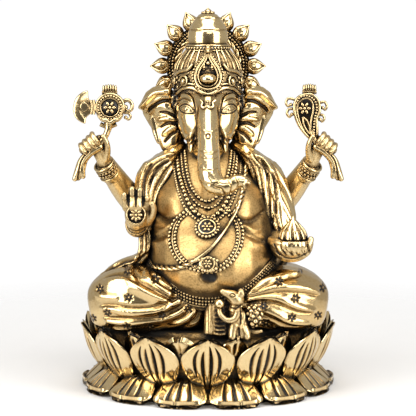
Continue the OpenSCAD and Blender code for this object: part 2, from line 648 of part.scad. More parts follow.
module left_ear() {
    color(gold) form(flip(ear_list), 12, 2, [1, 0.45, 0.25], 0.9);
}
module tusk(m) {
    color(satin_gold) form([
        [m * 6.4, -19, 72.8, 2.1, 2.1], [m * 6.8, -22.5, 71.2, 2, 2], [m * 7.1, -25.2, 69.6, 1.6, 1.6],
        [m * 7.3, -27, 68.2, 0.7, 0.7]
    ], 10, 2, [1, 0, 0]);
}
module right_tusk() {
    tusk(-1);
}
module left_tusk() {
    tusk(1);
}
module eyes() {
    color(gold) for (m = [-1, 1]) translate(at([m * 8.6, -17.4, 83])) sphere(2 * u, $fn = 32);
}
module forehead_mark() {
    // An upright drop in a crescent
    color(gold) translate(at([0, -22.2, 86])) rotate([90 - 12, 0, 0]) {
        rotate(-180) rotate_extrude(angle = 180, $fn = 48) translate([2.6, 0]) circle(0.65, $fn = 16);
        for (m = [-1, 1]) translate([m * 2.6, 0, 0]) cylinder(r = 0.65, h = 1.2, center = true, $fn = 24);
        translate([0, 1.6, 0]) sphere(1, $fn = 24);
    }
}

// ---------- Crown ----------
crown_y = -4;
band_r = 14;
band_z = 89.8;
band_h = 9.2;
dome_z = head_top;
dome_top = 106.6;
drum_h = 6.4;
cap_h = 5.4;
module crown_at(z) {
    translate(at([0, crown_y, z])) children();
}
module crown_band() {
    // The diadem wraps the head under the dome.
    color(gold) crown_at(band_z) difference() {
        union() {
            cylinder(r1 = band_r * u - 0.6, r2 = band_r * u, h = band_h * u, $fn = 64);
            for (z = [0, band_h * u]) translate([0, 0, z]) rotate_extrude($fn = 64)
                translate([band_r * u - 0.3, 0]) circle(0.9, $fn = 24);
        }
        translate([0, 0, -2]) cylinder(r = band_r * u - 2, h = band_h * u + 4, $fn = 64);
    }
}
module crown_jewel() {
    // A round stone in a frame that rises to a point
    color(gold) crown_at(96.4) translate([0, -band_r * u - 0.2, 0]) rotate([90 - 18, 0, 0]) {
        difference() {
            linear_extrude(2) union() {
                circle(5.6 * u, $fn = 64);
                polygon([[-4.4 * u, 3.4 * u], [4.4 * u, 3.4 * u], [0, 13 * u]]);
            }
            translate([0, 0, 1]) cylinder(r = 4.4 * u, h = 2, $fn = 64);
        }
        translate([0, 0, 1]) sphere(3.2 * u, $fn = 48);
    }
}
module crown_dome() {
    r1 = 13 * u;
    h = (dome_top - dome_z) * u;
    color(gold) crown_at(dome_z) difference() {
        union() {
            cylinder(r1 = r1, r2 = drum_r, h = h, $fn = 64);
            for (i = [0:19]) rotate(i * 18) translate([r1, 0, 0]) rotate([0, -atan((r1 - drum_r) / h), 0])
                cylinder(r1 = 1.05, r2 = 0.6, h = norm([r1 - drum_r, h]) - 0.4, $fn = 16);
        }
        translate([0, 0, -0.5])
            cylinder(r = crown_tenon_d / 2 + tenon_play, h = crown_tenon_h + 0.6, $fn = 48);
        translate([0, 0, -1]) cylinder(r = 2 * r1, h = 1, $fn = 48);
    }
}
// The ring under the beads is a little higher than they are, and their centres stand out from it.
crown_ring_h = crown_bead_d + 0.2;
crown_bead_out = 0.25;
module crown_beads() {
    color(gold) crown_at(dome_top) {
        cylinder(r = drum_r - crown_bead_out, h = crown_ring_h, $fn = 64);
        count = floor(360 / (2 * asin((crown_bead_d + bead_gap) / 2 / drum_r)));
        for (i = [0:count - 1]) rotate(i * 360 / count) translate([drum_r, 0, crown_ring_h / 2])
            sphere(d = crown_bead_d, $fn = 24);
    }
}
module crown_drum() {
    color(satin_gold) crown_at(dome_top) translate([0, 0, crown_ring_h]) {
        h = drum_h * u;
        c = cap_h * u;
        cylinder(r1 = drum_r, r2 = drum_r * 0.95, h = h, $fn = 64);
        translate([0, 0, h]) cylinder(r1 = drum_r * 0.95, r2 = drum_r * 0.8, h = c * 0.4, $fn = 64);
        translate([0, 0, h + c * 0.4]) cylinder(r1 = drum_r * 0.8, r2 = drum_r * 0.4, h = c * 0.6, $fn = 64);
        for (z = [0.55, 0.72]) translate([0, 0, h + c * z]) rotate_extrude($fn = 64)
            translate([drum_r * (z == 0.55 ? 0.68 : 0.58), 0]) circle(0.55, $fn = 16);
    }
}
module crown_finial() {
    r = 2.7;
    base = dome_top + drum_h + cap_h;
    z = (canon - base) * u - crown_ring_h;
    color(gold) crown_at(base) translate([0, 0, crown_ring_h]) {
        cylinder(r1 = r, r2 = r * 0.8, h = z * 0.5, $fn = 32);
        translate([0, 0, z - 1.2]) sphere(1.2, $fn = 32);
        cylinder(r = 0.9, h = z - 1, $fn = 32);
    }
}

// ---------- Halo ----------
halo_z = 100.1;
halo_y = (crown_y + band_r) * u + 2.4;
halo_out = halo_r + halo_ring_w * 0.6;
module halo_place() {
    translate([0, halo_y, at([0, 0, halo_z])[2]]) rotate([90, 0, 0]) translate([0, 0, -halo_t]) children();
}
module halo_ring() {
    inner = halo_r - halo_ring_w * 0.6;
    color(dark_gold) halo_place() difference() {
        cylinder(r = halo_out, h = halo_t * 0.7, $fn = 96);
        translate([0, 0, -1]) cylinder(r1 = inner + 0.3, r2 = inner - 0.3, h = halo_t + 2, $fn = 96);
    }
}
module halo_beads() {
    d = 1.3;
    count = floor(360 / (2 * asin((d + bead_gap) / 2 / halo_r)));
    color(gold) halo_place() for (i = [0:count - 1]) rotate(i * 360 / count)
        translate([halo_r, 0, halo_t * 0.7 + d * 0.2]) sphere(d = d, $fn = 24);
}
module halo_petals() {
    // Round buds that draw out to a point, set around the ring
    ball = 2.9;
    tip = 6.4;
    color(gold) halo_place() for (i = [0:halo_petals_n - 1]) rotate(90 + i * 360 / halo_petals_n)
        translate([halo_out, 0, halo_t * 0.35]) rotate([0, 90, 0]) rotate_extrude($fn = 24) difference() {
            union() {
                translate([0, ball * 0.7]) circle(ball, $fn = 48);
                polygon([[0, 0], [ball * 0.93, ball], [ball * 0.35, tip * 0.72], [0, tip]]);
            }
            translate([-10, -10]) square([10, 30]);
            translate([-1, -10]) square([20, 10]);
        }
}
module halo_bracket() {
    z = at([0, 0, halo_z])[2] - halo_out;
    front = at([0, 5, 0])[1];
    color(dark_gold) translate([0, 0, z]) {
        translate([-3, front, -1]) cube([6, halo_y + halo_t - front, 3]);
    }
}

// ---------- Mouse ----------
mouse_at = [10, -41.6, -pad_h];
// A point of the mouse, from its place on the cushion
function mouse_point(p) = [mouse_at[0] + p[0], mouse_at[1] + p[1], mouse_at[2] / u + p[2]];
module mouse_limb(list) {
    limb([for (p = list) concat(mouse_point(p), [p[3]])]);
}
module mouse() {
    $fn = 10;
    color(satin_gold) {
        // Haunches to neck, then the head with its muzzle tilted up
        mouse_limb([[2.6, 0, 3, 3.2], [2.4, 0, 6.4, 3.1], [1, -0.4, 9.6, 2.9], [0.2, -0.6, 12.4, 2.3]]);
        mouse_limb([[0.6, -0.6, 15.6, 2.9], [-1, -1, 16.9, 2.5], [-3, -1.4, 18, 1.7],
            [-4.6, -1.6, 18.9, 1]]);
        for (y = [-2.6, 1.4]) mouse_limb([[2.1, y, 16.6, 1.1], [2.5, y, 18.6, 1.2]]);
        // The arm bent up to the sweet, the robe, a foot and the tail
        mouse_limb([[1.4, -2.6, 11.8, 1.4], [0, -3, 8.8, 1.3], [-2.8, -3.2, 8.2, 1.1], [-5.2, -3, 10.2, 1],
            [-5.8, -2.6, 12.6, 0.9]]);
        mouse_limb([[0, -1.6, 6, 1.9], [-0.6, -2, 3.6, 1.7], [-0.8, -2.4, 1.8, 1.5]]);
        mouse_limb([[3.6, -1.8, 5, 1.8], [4.4, -2.2, 3, 1.6], [4.8, -2.6, 1.7, 1.3]]);
        mouse_limb([[5.4, 0, 3.6, 1.2], [8, -0.6, 3.2, 1], [10, -1, 3.6, 0.7]]);
        // The basket on its back
        mouse_limb([[7, 0.2, 7.4, 2.7], [7.4, 0.2, 11, 2.5]]);
    }
}
module mouse_sweet() {
    color(gold) translate(at(mouse_point([-5.7, -2.6, 14.4]))) sphere(1.9 * u, $fn = 32);
}

plinth();
seat_cushion();
upper_petals();
inner_petals();
lower_petals();
torso();
right_leg();
left_leg();
dhoti_pleat();
belt();
belt_beads();
sacred_thread();
neck_beads();
garland_beads();
breast_medallion();
navel_pendant();
shawl_right();
shawl_left();
shawl_back();
shawl_tail();
front_right_arm();
front_left_arm();
rear_right_arm();
rear_left_arm();
front_right_hand();
palm_rosette();
front_left_hand();
sweet_bowl();
modak();
rear_right_hand();
rear_left_hand();
bracelets();
axe();
axe_ribbon();
noose();
noose_ribbon();
head();
trunk();
right_ear();
left_ear();
right_tusk();
left_tusk();
eyes();
forehead_mark();
crown_band();
crown_jewel();
crown_dome();
crown_beads();
crown_drum();
crown_finial();
halo_ring();
halo_beads();
halo_petals();
halo_bracket();
mouse();
mouse_sweet();
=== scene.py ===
"""A cast brass figure of a seated, elephant-headed deity on a double lotus."""

import math

import bmesh
import bpy
import numpy as np
from mathutils import Matrix, Vector
from mathutils.bvhtree import BVHTree


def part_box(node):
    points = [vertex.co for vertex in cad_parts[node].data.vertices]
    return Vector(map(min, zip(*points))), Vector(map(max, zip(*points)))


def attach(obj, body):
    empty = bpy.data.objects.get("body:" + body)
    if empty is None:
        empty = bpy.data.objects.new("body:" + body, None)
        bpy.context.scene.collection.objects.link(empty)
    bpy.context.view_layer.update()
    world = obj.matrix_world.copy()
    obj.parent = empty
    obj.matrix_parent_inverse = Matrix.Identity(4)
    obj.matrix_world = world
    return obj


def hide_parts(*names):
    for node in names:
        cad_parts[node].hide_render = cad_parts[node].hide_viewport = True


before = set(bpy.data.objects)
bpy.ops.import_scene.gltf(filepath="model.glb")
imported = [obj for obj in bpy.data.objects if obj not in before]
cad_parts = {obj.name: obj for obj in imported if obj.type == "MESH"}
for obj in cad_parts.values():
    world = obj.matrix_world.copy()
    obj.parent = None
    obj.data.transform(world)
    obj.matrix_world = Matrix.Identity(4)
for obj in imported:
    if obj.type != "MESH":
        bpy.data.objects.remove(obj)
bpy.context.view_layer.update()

bl_info = {
    "name": "Brass Lotus Figure",
    "version": (1, 0, 0),
    "blender": (4, 5, 0),
    "location": "View3D > Sidebar > Figure",
    "description": "Models and finishes a cast brass figure on a lotus",
    "category": "Object",
}

# Every shape here is written in millimetres and turned to metres when its piece is finished.
MM = 0.001
BASE_R = max(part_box("upper_petals")[1]) / MM
PETALS = 14
PETAL_T = 1.5  # thickness
PETAL_Z = 1.6  # lowest point of a petal's outer face: its thickness hangs below
PETAL_OVER = 0.4  # how far a petal's relief may pass the base's radius
TIP_LEAN = 1.7  # how far the side petals' tips lean
SEAT_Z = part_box("seat_cushion")[1][2] / MM
CROWN_Y = sum(v[1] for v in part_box("crown_drum")) / 2 / MM
CROWN_R = 13.1  # the crown's band
BEAD_RING_R, BEAD_RING_Z = 8.3, 134.6  # the ring of beads under the drum
HELD_Y = -11  # depth of the axe and the noose

POLISHED, SATIN, DARK = "polished_brass", "satin_brass", "dark_brass"

# The camera and what it and the lamps point at, in metres; the lens in millimetres
EYE = Vector((0, -0.66, 0.142))
AIM = Vector((0, 0, 0.0708))
LIT = Vector((0, 0, 0.075))
LENS, SENSOR = 143.6, 36


# ---------- colours and materials ----------
def hex_rgb(text):
    """An sRGB hex colour as linear red, green and blue."""
    part = [int(text[i : i + 2], 16) / 255 for i in (1, 3, 5)]
    return [v / 12.92 if v <= 0.04045 else ((v + 0.055) / 1.055) ** 2.4 for v in part]


def add(tree, kind, links=(), **values):
    """Adds a node, sets its settings and inputs, and links (input, socket) pairs."""
    node = tree.nodes.new("ShaderNode" + kind)
    for key, value in values.items():
        if hasattr(node, key):
            setattr(node, key, value)
        else:
            node.inputs[key.replace("_", " ")].default_value = value
    for name, socket in links:
        tree.links.new(socket, node.inputs[name])
    return node


def stops(node, *pairs):
    """Sets a colour ramp's stops from (place, colour) pairs."""
    ramp = node.color_ramp
    while len(ramp.elements) < len(pairs):
        ramp.elements.new(1)
    for element, (place, colour) in zip(ramp.elements, pairs):
        element.position = place
        element.color = (*colour, 1) if len(colour) == 3 else colour


def brass(name, rough, grain, darkening, props, reach=2.6, alone=False):
    """Cast brass with a dark chemical patina that polishing left in the hollows, and painted shade where the
    surface is crowded.
    """
    mat = bpy.data.materials.new(name)
    mat.use_nodes = True
    tree = mat.node_tree
    tree.nodes.clear()
    place = add(tree, "TexCoord").outputs["Object"]
    # Hollows within a couple of millimetres keep their patina, and this ambient occlusion reading also paints
    # shade there and wherever other pieces or the floor come that close. Engraved lines carry their own mark,
    # which holds patina and, on some pieces, painted shade.
    open_sky = add(tree, "AmbientOcclusion", samples=6, only_local=alone, Distance=reach * MM).outputs["AO"]
    hollow_patina_and_shade = add(tree, "MapRange", [("Value", open_sky)], From_Min=0.95, From_Max=0.55, To_Min=0, To_Max=1)
    mark = add(tree, "Attribute", attribute_name="patina_and_shade").outputs["Fac"]
    cloud = add(tree, "TexNoise", [("Vector", place)], Scale=1 / (5 * MM), Detail=6, Roughness=0.65)
    fleck = add(tree, "TexNoise", [("Vector", place)], Scale=1 / (0.7 * MM), Detail=3, Roughness=0.6)
    # Patina and painted shade together: the darker of the occlusion reading and the mark
    both = add(tree, "Math", [(0, hollow_patina_and_shade.outputs[0]), (1, mark)], operation="MAXIMUM")
    patchy = add(tree, "MapRange", [("Value", cloud.outputs["Fac"])], From_Min=0.3, From_Max=0.7,
                 To_Min=0.72, To_Max=1.15)
    patchy_patina_and_shade = add(tree, "Math", [(0, both.outputs[0]), (1, patchy.outputs[0])], operation="MULTIPLY")
    # A thin film over the open surface, uneven as hand polishing leaves it
    film = add(tree, "MapRange", [("Value", fleck.outputs["Fac"])], From_Min=0.48, From_Max=0.8,
               To_Min=darkening * 0.2, To_Max=darkening)
    mask = add(tree, "Math", [(0, patchy_patina_and_shade.outputs[0]), (1, film.outputs[0])], operation="ADD", use_clamp=True)
    tone = add(tree, "ValToRGB", [("Fac", mask.outputs[0])])
    # The darkest stops show the patina and the painted shade alike.
    stops(
        tone,
        (0.0, hex_rgb(props.bright)),
        (0.25, hex_rgb(props.warm)),
        (0.52, hex_rgb(props.brown)),
        (0.85, hex_rgb(props.patina_and_shade)),
    )
    metal = add(tree, "MapRange", [("Value", mask.outputs[0])], From_Min=0.35, From_Max=1, To_Min=1,
                To_Max=0.35)
    # Casting sand leaves a grain of about a third of a millimetre, drawn a little coarser so that it shows.
    sand = add(tree, "TexNoise", [("Vector", place)], Scale=1 / (0.55 * MM), Detail=4, Roughness=0.7)
    wave = add(tree, "TexNoise", [("Vector", place)], Scale=1 / (7 * MM), Detail=2, Roughness=0.5)
    shine = add(tree, "MapRange", [("Value", sand.outputs["Fac"])], From_Min=0.3, From_Max=0.7,
                To_Min=rough * 0.75, To_Max=rough * 1.3)
    dull = add(tree, "Math", [(0, mask.outputs[0]), (1, shine.outputs[0])], operation="MULTIPLY_ADD")
    dull.inputs[1].default_value = 0.4
    tree.links.new(shine.outputs[0], dull.inputs[2])
    hand = add(tree, "Bump", [("Height", wave.outputs["Fac"])], Strength=0.25, Distance=0.35 * MM)
    relief = add(tree, "Bump", [("Height", sand.outputs["Fac"]), ("Normal", hand.outputs[0])],
                 Strength=grain, Distance=0.12 * MM)
    shader = add(tree, "BsdfPrincipled", [
        ("Base Color", tone.outputs["Color"]), ("Metallic", metal.outputs[0]),
        ("Roughness", dull.outputs[0]), ("Normal", relief.outputs[0])])
    add(tree, "OutputMaterial", [("Surface", shader.outputs[0])])
    return mat


FINISHES = {}


def finish_of(key):
    """Polished, satin or dark brass, made once."""
    if key not in FINISHES:
        p = bpy.context.scene.brass_finish
        make = {
            # Buffed cast brass: mirror-like, with soft waves from hand polishing
            "polished_brass": lambda: brass("Polished antique brass", 0.14, 0.14, 0.16, p),
            # The same, for petals that rest on the floor: their painted shade reads only their own piece, so
            # the floor paints no contact shadow on them
            "foot_brass": lambda: brass("Polished antique brass at the foot", 0.14, 0.14, 0.16, p,
                                        alone=True),
            # Sand-cast brass brushed back to a satin skin: fine grain, broad soft highlights
            "satin_brass": lambda: brass("Satin cast brass", 0.3, 0.3, 0.3, p),
            # Brass left with most of its patina, as in the deep parts of a casting; its wider occlusion
            # reading paints more shade, and on the seat its darkness stands for the shade under the legs
            "dark_brass": lambda: brass("Patinated brass with painted shade", 0.34, 0.45, 0.6, p, 4),
        }
        FINISHES[key] = make[key]()
    return FINISHES[key]


# ---------- paths and small solids, in millimetres ----------
def curve(points, steps=8, closed=False):
    """A smooth path through points."""
    p = np.array(points, float)
    n = len(p)
    out = []
    for i in range(n if closed else n - 1):
        a, b, c, d = (p[(i + k) % n] if closed else p[min(max(i + k, 0), n - 1)] for k in (-1, 0, 1, 2))
        for s in range(steps):
            t = s / steps
            out.append(0.5 * (2 * b + (c - a) * t + (2 * a - 5 * b + 4 * c - d) * t * t
                              + (3 * b - a - 3 * c + d) * t**3))
    out.append(p[0] if closed else p[-1])
    return np.array(out)


def sided(s, points):
    """Points on the right side, for s of -1, or the left side, for 1."""
    return [(s * x, *rest) for x, *rest in points]


def spaced(path, gap):
    """Points along a path, gap apart."""
    step = np.linalg.norm(np.diff(path, axis=0), axis=1)
    run = np.concatenate([[0], np.cumsum(step)])
    count = max(2, int(round(run[-1] / gap)) + 1)
    at = np.linspace(0, run[-1], count)
    return np.stack([np.interp(at, run, path[:, k]) for k in range(path.shape[1])], 1)


def wire(bm, path, radius, sides=4, closed=False):
    """A round wire along a path. radius is one size, or one for each point."""
    path = np.array(path, float)
    data = bpy.data.curves.new("wire", "CURVE")
    data.dimensions = "3D"
    data.bevel_depth = 1
    data.bevel_resolution = sides - 2
    data.use_fill_caps = True
    line = data.splines.new("POLY")
    if closed:
        path = path[:-1] if np.allclose(path[0], path[-1]) else path
    line.points.add(len(path) - 1)
    line.use_cyclic_u = closed
    size = np.broadcast_to(radius, len(path))
    for point, co, r in zip(line.points, path, size):
        point.co = (*co, 1)
        point.radius = float(r)
    tool = bpy.data.objects.new("wire", data)
    bpy.context.scene.collection.objects.link(tool)
    mesh = bpy.data.meshes.new_from_object(tool.evaluated_get(bpy.context.evaluated_depsgraph_get()))
    bm.from_mesh(mesh)
    bpy.data.objects.remove(tool)
    bpy.data.curves.remove(data)
    bpy.data.meshes.remove(mesh)


def ball(bm, at, r, detail=2, squash=(1, 1, 1), turn=None):
    """A ball, or an egg where squash isn't even."""
    m = Matrix.Translation(Vector(at)) @ (turn or Matrix()) @ Matrix.Diagonal((*squash, 1))
    bmesh.ops.create_icosphere(bm, subdivisions=detail, radius=r, matrix=m)


def beads(bm, path, d, gap=0.05):
    """A string of beads along a path."""
    for p in spaced(path, d + gap):
        ball(bm, p, d / 2)


def rope(bm, path, r, pitch=3.2):
    """Two strands laid around each other along a path."""
    fine = spaced(np.array(path), r * 0.55)
    run = np.gradient(fine, axis=0)
    run /= np.linalg.norm(run, axis=1)[:, None]
    side = np.cross(run, (0, 1, 0.02))
    side /= np.linalg.norm(side, axis=1)[:, None]
    up = np.cross(run, side)
    turn = np.arange(len(fine)) * r * 0.55 / (pitch * r) * math.pi
    for phase in (0, math.pi):
        a = (turn + phase)[:, None]
        wire(bm, fine + (np.cos(a) * side + np.sin(a) * up) * r * 0.5, r * 0.62)


def chain(bm, points, steps=5):
    """A limb, finger or tail through (x, y, z, radius) points, round at both ends."""
    path = curve(points, steps)
    wire(bm, path[:, :3], path[:, 3], 7)
    for end in (path[0], path[-1]):
        ball(bm, end[:3], end[3], 3)


def pour(bm, part, matrix=None):
    """Adds a part to a bmesh and frees it."""
    if matrix is not None:
        bmesh.ops.transform(part, matrix=matrix, verts=part.verts)
    mesh = bpy.data.meshes.new("part")
    part.to_mesh(mesh)
    part.free()
    bm.from_mesh(mesh)
    bpy.data.meshes.remove(mesh)


def plate(bm, outline, y, thick, edge=0.35, lean=0):
    """A flat plate with a rolled edge from a closed front-view outline, centred on a depth."""
    part = bmesh.new()
    rim = [part.verts.new((x, y - thick / 2, z)) for x, z in curve(outline, 5, True)[:-1]]
    made = bmesh.ops.extrude_face_region(part, geom=[part.faces.new(rim)])
    moved = [g for g in made["geom"] if isinstance(g, bmesh.types.BMVert)]
    bmesh.ops.translate(part, verts=moved, vec=(0, thick, 0))
    bmesh.ops.recalc_face_normals(part, faces=part.faces)
    sharp = [e for e in part.edges if e.calc_face_angle(0) > 1.2]
    bmesh.ops.bevel(part, geom=sharp, offset=edge, segments=2, profile=0.5, affect="EDGES", material=-1)
    mid = sum(z for _, z in outline) / len(outline)
    pour(bm, part, Matrix(((1, 0, 0, 0), (0, 1, lean, -lean * mid), (0, 0, 1, 0), (0, 0, 0, 1))))


def basis(at, out, up=(0, 0, 1)):
    """A frame whose Z points along out, set at a place."""
    z = Vector(out).normalized()
    x = Vector(up).cross(z).normalized()
    return Matrix.Translation(Vector(at)) @ Matrix((x, z.cross(x), z)).transposed().to_4x4()


def through(m, points):
    """Points of a local frame in the figure's frame."""
    return np.array([m @ Vector(p) for p in points])


def ring(bm, m, r, t, sides=5):
    """A round ring lying in a local frame's XY plane."""
    a = np.radians(np.linspace(0, 360, 40))
    wire(bm, through(m, np.stack([r * np.cos(a), r * np.sin(a), 0 * a], 1)), t, sides, True)


def disc(bm, m, r, h, bevel=0.3, sides=48):
    """A round plate with a rolled edge, standing on a local frame's XY plane."""
    made = bmesh.ops.create_cone(bm, cap_ends=True, segments=sides, radius1=r, radius2=r, depth=h,
                                 matrix=m @ Matrix.Translation((0, 0, h / 2)))
    rims = {e for v in made["verts"] for e in v.link_edges if abs(e.calc_face_angle(0)) > 1}
    bmesh.ops.bevel(bm, geom=list(rims), offset=bevel, segments=3, profile=0.5, affect="EDGES", material=-1)


def darkening(bm):
    """Marks everything built so far dark, as a ground for relief: patina, and painted shade about the relief.
    """
    mark = bm.verts.layers.float.get("patina_and_shade") or bm.verts.layers.float.new("patina_and_shade")
    for v in bm.verts:
        v[mark] = 0.9


def rosette(bm, m, r, petals=6):
    """A flower: round petals about a boss."""
    for i in range(petals):
        a = 2 * math.pi * i / petals
        ball(bm, m @ Vector((0.55 * r * math.cos(a), 0.55 * r * math.sin(a), 0.1)), r * 0.27, 2,
             (1.25, 0.8, 0.75), m.to_3x3().to_4x4() @ Matrix.Rotation(a, 4, "Z"))
    ball(bm, m @ Vector((0, 0, 0.15)), r * 0.24)


def bead_ring(bm, m, r, z, count, size, phase=0):
    """Beads set evenly round a local frame's axis."""
    for i in range(count):
        a = 2 * math.pi * (i + phase) / count
        ball(bm, m @ Vector((r * math.cos(a), r * math.sin(a), z)), size)


def lathe(bm, profile, steps=96, centre=(0, 0)):
    """A turned form about an upright line, from (radius, height) pairs."""
    verts = [bm.verts.new((centre[0] + max(r, 0.001), centre[1], z)) for r, z in profile]
    edges = [bm.edges.new(pair) for pair in zip(verts, verts[1:])]
    bmesh.ops.spin(bm, geom=verts + edges, cent=(*centre, 0), axis=(0, 0, 1), angle=2 * math.pi,
                   steps=steps, use_merge=True)
    bmesh.ops.remove_doubles(bm, verts=bm.verts, dist=0.004)


def scroll(bm, m, r, t, turns=1.35, way=1):
    """A tendril that curls in on itself, lying in a local frame."""
    a = np.linspace(0, 2 * math.pi * turns, 30)
    size = r * (1 - 0.72 * a / a[-1])
    wire(bm, through(m, np.stack([way * size * np.cos(a), size * np.sin(a), 0 * a], 1)),
         t * np.linspace(0.7, 1, 30))
    ball(bm, m @ Vector((0, 0, 0.05)), t * 1.7)


# ---------- clay: dense forms pushed in and out ----------
def copy_of(*nodes):
    """Copies of solids as one set of closed forms."""
    bm = bmesh.new()
    for n in nodes:
        bm.from_mesh(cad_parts[n].data)
    bmesh.ops.scale(bm, vec=(1 / MM,) * 3, verts=bm.verts)
    bmesh.ops.remove_doubles(bm, verts=bm.verts, dist=0.003)
    return bm


class Clay:
    """A form remeshed evenly, whose points are then pushed along their normals."""

    def __init__(self, bm, voxel=0.5, soften=6):
        mesh = bpy.data.meshes.new("clay")
        bm.to_mesh(mesh)
        bm.free()
        tool = bpy.data.objects.new("clay", mesh)
        bpy.context.scene.collection.objects.link(tool)
        even = tool.modifiers.new("even", "REMESH")
        even.mode, even.voxel_size = "VOXEL", voxel
        soft = tool.modifiers.new("soft", "SMOOTH")
        soft.factor, soft.iterations = 0.5, soften
        self.mesh = bpy.data.meshes.new_from_object(tool.evaluated_get(bpy.context.evaluated_depsgraph_get()))
        bpy.data.objects.remove(tool)
        bpy.data.meshes.remove(mesh)
        n = len(self.mesh.vertices)
        self.p = np.empty(n * 3)
        self.mesh.vertices.foreach_get("co", self.p)
        self.p = self.p.reshape(-1, 3)
        self.edges = np.empty(len(self.mesh.edges) * 2, int)
        self.mesh.edges.foreach_get("vertices", self.edges)
        self.edges = self.edges.reshape(-1, 2)
        self.dark = np.zeros(n)
        self.turn()

    def turn(self):
        """Takes the normals again after the form has changed."""
        self.mesh.vertices.foreach_set("co", self.p.ravel())
        self.mesh.update()
        self.n = np.empty(len(self.p) * 3)
        self.mesh.vertex_normals.foreach_get("vector", self.n)
        self.n = self.n.reshape(-1, 3)

    def soften(self, times=1, where=None):
        """Evens the form out."""
        a, b = self.edges.T
        count = np.bincount(np.concatenate([a, b]), minlength=len(self.p))[:, None]
        for _ in range(times):
            total = np.stack([np.bincount(a, self.p[b, k], len(self.p))
                              + np.bincount(b, self.p[a, k], len(self.p)) for k in range(3)], 1)
            step = (total / count - self.p) * 0.5
            self.p += step if where is None else step * where[:, None]
        self.turn()

    def view(self, side):
        """The plane that a stroke is drawn in, and how far each point faces it."""
        axes, way = {"front": ((0, 2), (0, -1, 0)), "back": ((0, 2), (0, 1, 0)),
                     "right": ((1, 2), (-1, 0, 0)), "left": ((1, 2), (1, 0, 0)),
                     "top": ((0, 1), (0, 0, 1)), "solid": ((0, 1, 2), None)}[side]
        face = 1.0 if way is None else np.clip((self.n @ np.array(way, float) + 0.05) * 3, 0, 1)
        return self.p[:, axes], face

    def stroke(self, points, width, height, side="front", dark=0, taper=0.6, lean=0, closed=False):
        """Raises a rounded ridge along a path, or cuts a groove where height is below 0.
        lean makes it fall steeply on its left, as the edge of a fold does."""
        path = curve(points, 6, closed)
        flat, face = self.view(side)
        lo, hi = path.min(0) - width * 2.2, path.max(0) + width * 2.2
        near = np.where(np.all((flat > lo) & (flat < hi), axis=1))[0]
        q = flat[near]
        best = np.full(len(q), 1e9)
        along = np.zeros(len(q))
        left = np.zeros(len(q))
        total = len(path) - 1
        for i in range(total):
            a, b = path[i], path[i + 1]
            ab = b - a
            t = np.clip(((q - a) @ ab) / max(ab @ ab, 1e-9), 0, 1)
            off = q - a - t[:, None] * ab
            d = np.linalg.norm(off, axis=1)
            win = d < best
            best[win] = d[win]
            along[win] = (i + t[win]) / total
            if len(a) == 2:
                left[win] = np.sign(ab[0] * off[win, 1] - ab[1] * off[win, 0])
        full = np.sin(np.pi * np.clip(along, 0.02, 0.98)) ** 0.6
        size = width * (1 if closed else 1 - taper + taper * full)
        if lean:
            steep = left > 0
            x = best / np.where(steep, size * (1 - lean), size * (1 + lean))
            push = np.clip(1 - x * x, 0, None) ** 2
            gap = np.exp(-(((best - size * (1 - lean) * 1.05) / (size * 0.3)) ** 2)) * steep
            push = push - 0.55 * gap
            darkening = gap
        else:
            x = best / size
            push = np.clip(1 - x * x, 0, None) ** 2
            darkening = np.clip(1 - (x * 1.25) ** 2, 0, 1)
        fade = 1 if closed else np.clip(np.minimum(along, 1 - along) * 12 + 0.15, 0, 1)
        f = face[near] if isinstance(face, np.ndarray) else face
        self.p[near] += self.n[near] * (push * fade * height * f)[:, None]
        # The dark mark holds patina in grooves and folds, and painted shade where a stroke raises nothing.
        if dark:
            self.dark[near] = np.maximum(self.dark[near], darkening * dark * f * fade)

    def panel(self, outline, height, edge=0.5, side="front", dark=0, steps=6):
        """Raises the inside of a closed outline as a plateau with a dark line about it."""
        path = curve(outline, steps, True)
        flat, face = self.view(side)
        near = np.where(np.all((flat > path.min(0) - 2 * edge) & (flat < path.max(0) + 2 * edge),
                               axis=1))[0]
        q = flat[near]
        inside = np.zeros(len(q), bool)
        best = np.full(len(q), 1e9)
        for a, b in zip(path[:-1], path[1:]):
            ab = b - a
            t = np.clip(((q - a) @ ab) / max(ab @ ab, 1e-9), 0, 1)
            best = np.minimum(best, np.linalg.norm(q - a - t[:, None] * ab, axis=1))
            crosses = (a[1] > q[:, 1]) != (b[1] > q[:, 1])
            inside ^= crosses & (q[:, 0] < a[0] + (q[:, 1] - a[1]) / (ab[1] or 1e-9) * ab[0])
        deep = np.where(inside, best, -best)
        k = np.clip(deep / edge / 2 + 0.5, 0, 1)
        self.p[near] += self.n[near] * (k * k * (3 - 2 * k) * height * face[near])[:, None]
        if dark:
            line = np.exp(-(((deep + edge * 0.5) / (edge * 0.8)) ** 2))
            self.dark[near] = np.maximum(self.dark[near], line * dark * face[near])

    def swell(self, centre, radius, height, side="front", power=2, dark=0):
        """Raises a soft mound, or sinks a hollow. radius may be a pair."""
        flat, face = self.view(side)
        rad = np.broadcast_to(radius, len(centre)).astype(float)
        d = (((flat - np.array(centre, float)) / rad) ** 2).sum(1)
        amount = np.clip(1 - d, 0, None) ** power * face
        self.p += self.n * (amount * height)[:, None]
        if dark:
            self.dark = np.maximum(self.dark, np.clip(amount * 1.6, 0, 1) * dark)

    def stamp(self, centre, r, side="front", depth=0.3, turn=0.3):
        """Punches a small six-petalled flower."""
        flat, face = self.view(side)
        q = flat - np.array(centre, float)
        d = np.hypot(*q.T)
        near = np.where(d < r * 1.1)[0]
        a = np.arctan2(q[near, 1], q[near, 0]) + turn
        reach = r * (0.34 + 0.66 * np.abs(np.cos(3 * a)) ** 0.8)
        inside = (np.clip((reach - d[near]) / (0.25 * r), 0, 1)
                  * np.clip((d[near] - 0.12 * r) / (0.15 * r), 0, 1))
        f = face[near] if isinstance(face, np.ndarray) else face
        self.p[near] -= self.n[near] * (inside * depth * f)[:, None]
        self.dark[near] = np.maximum(self.dark[near], inside * f)

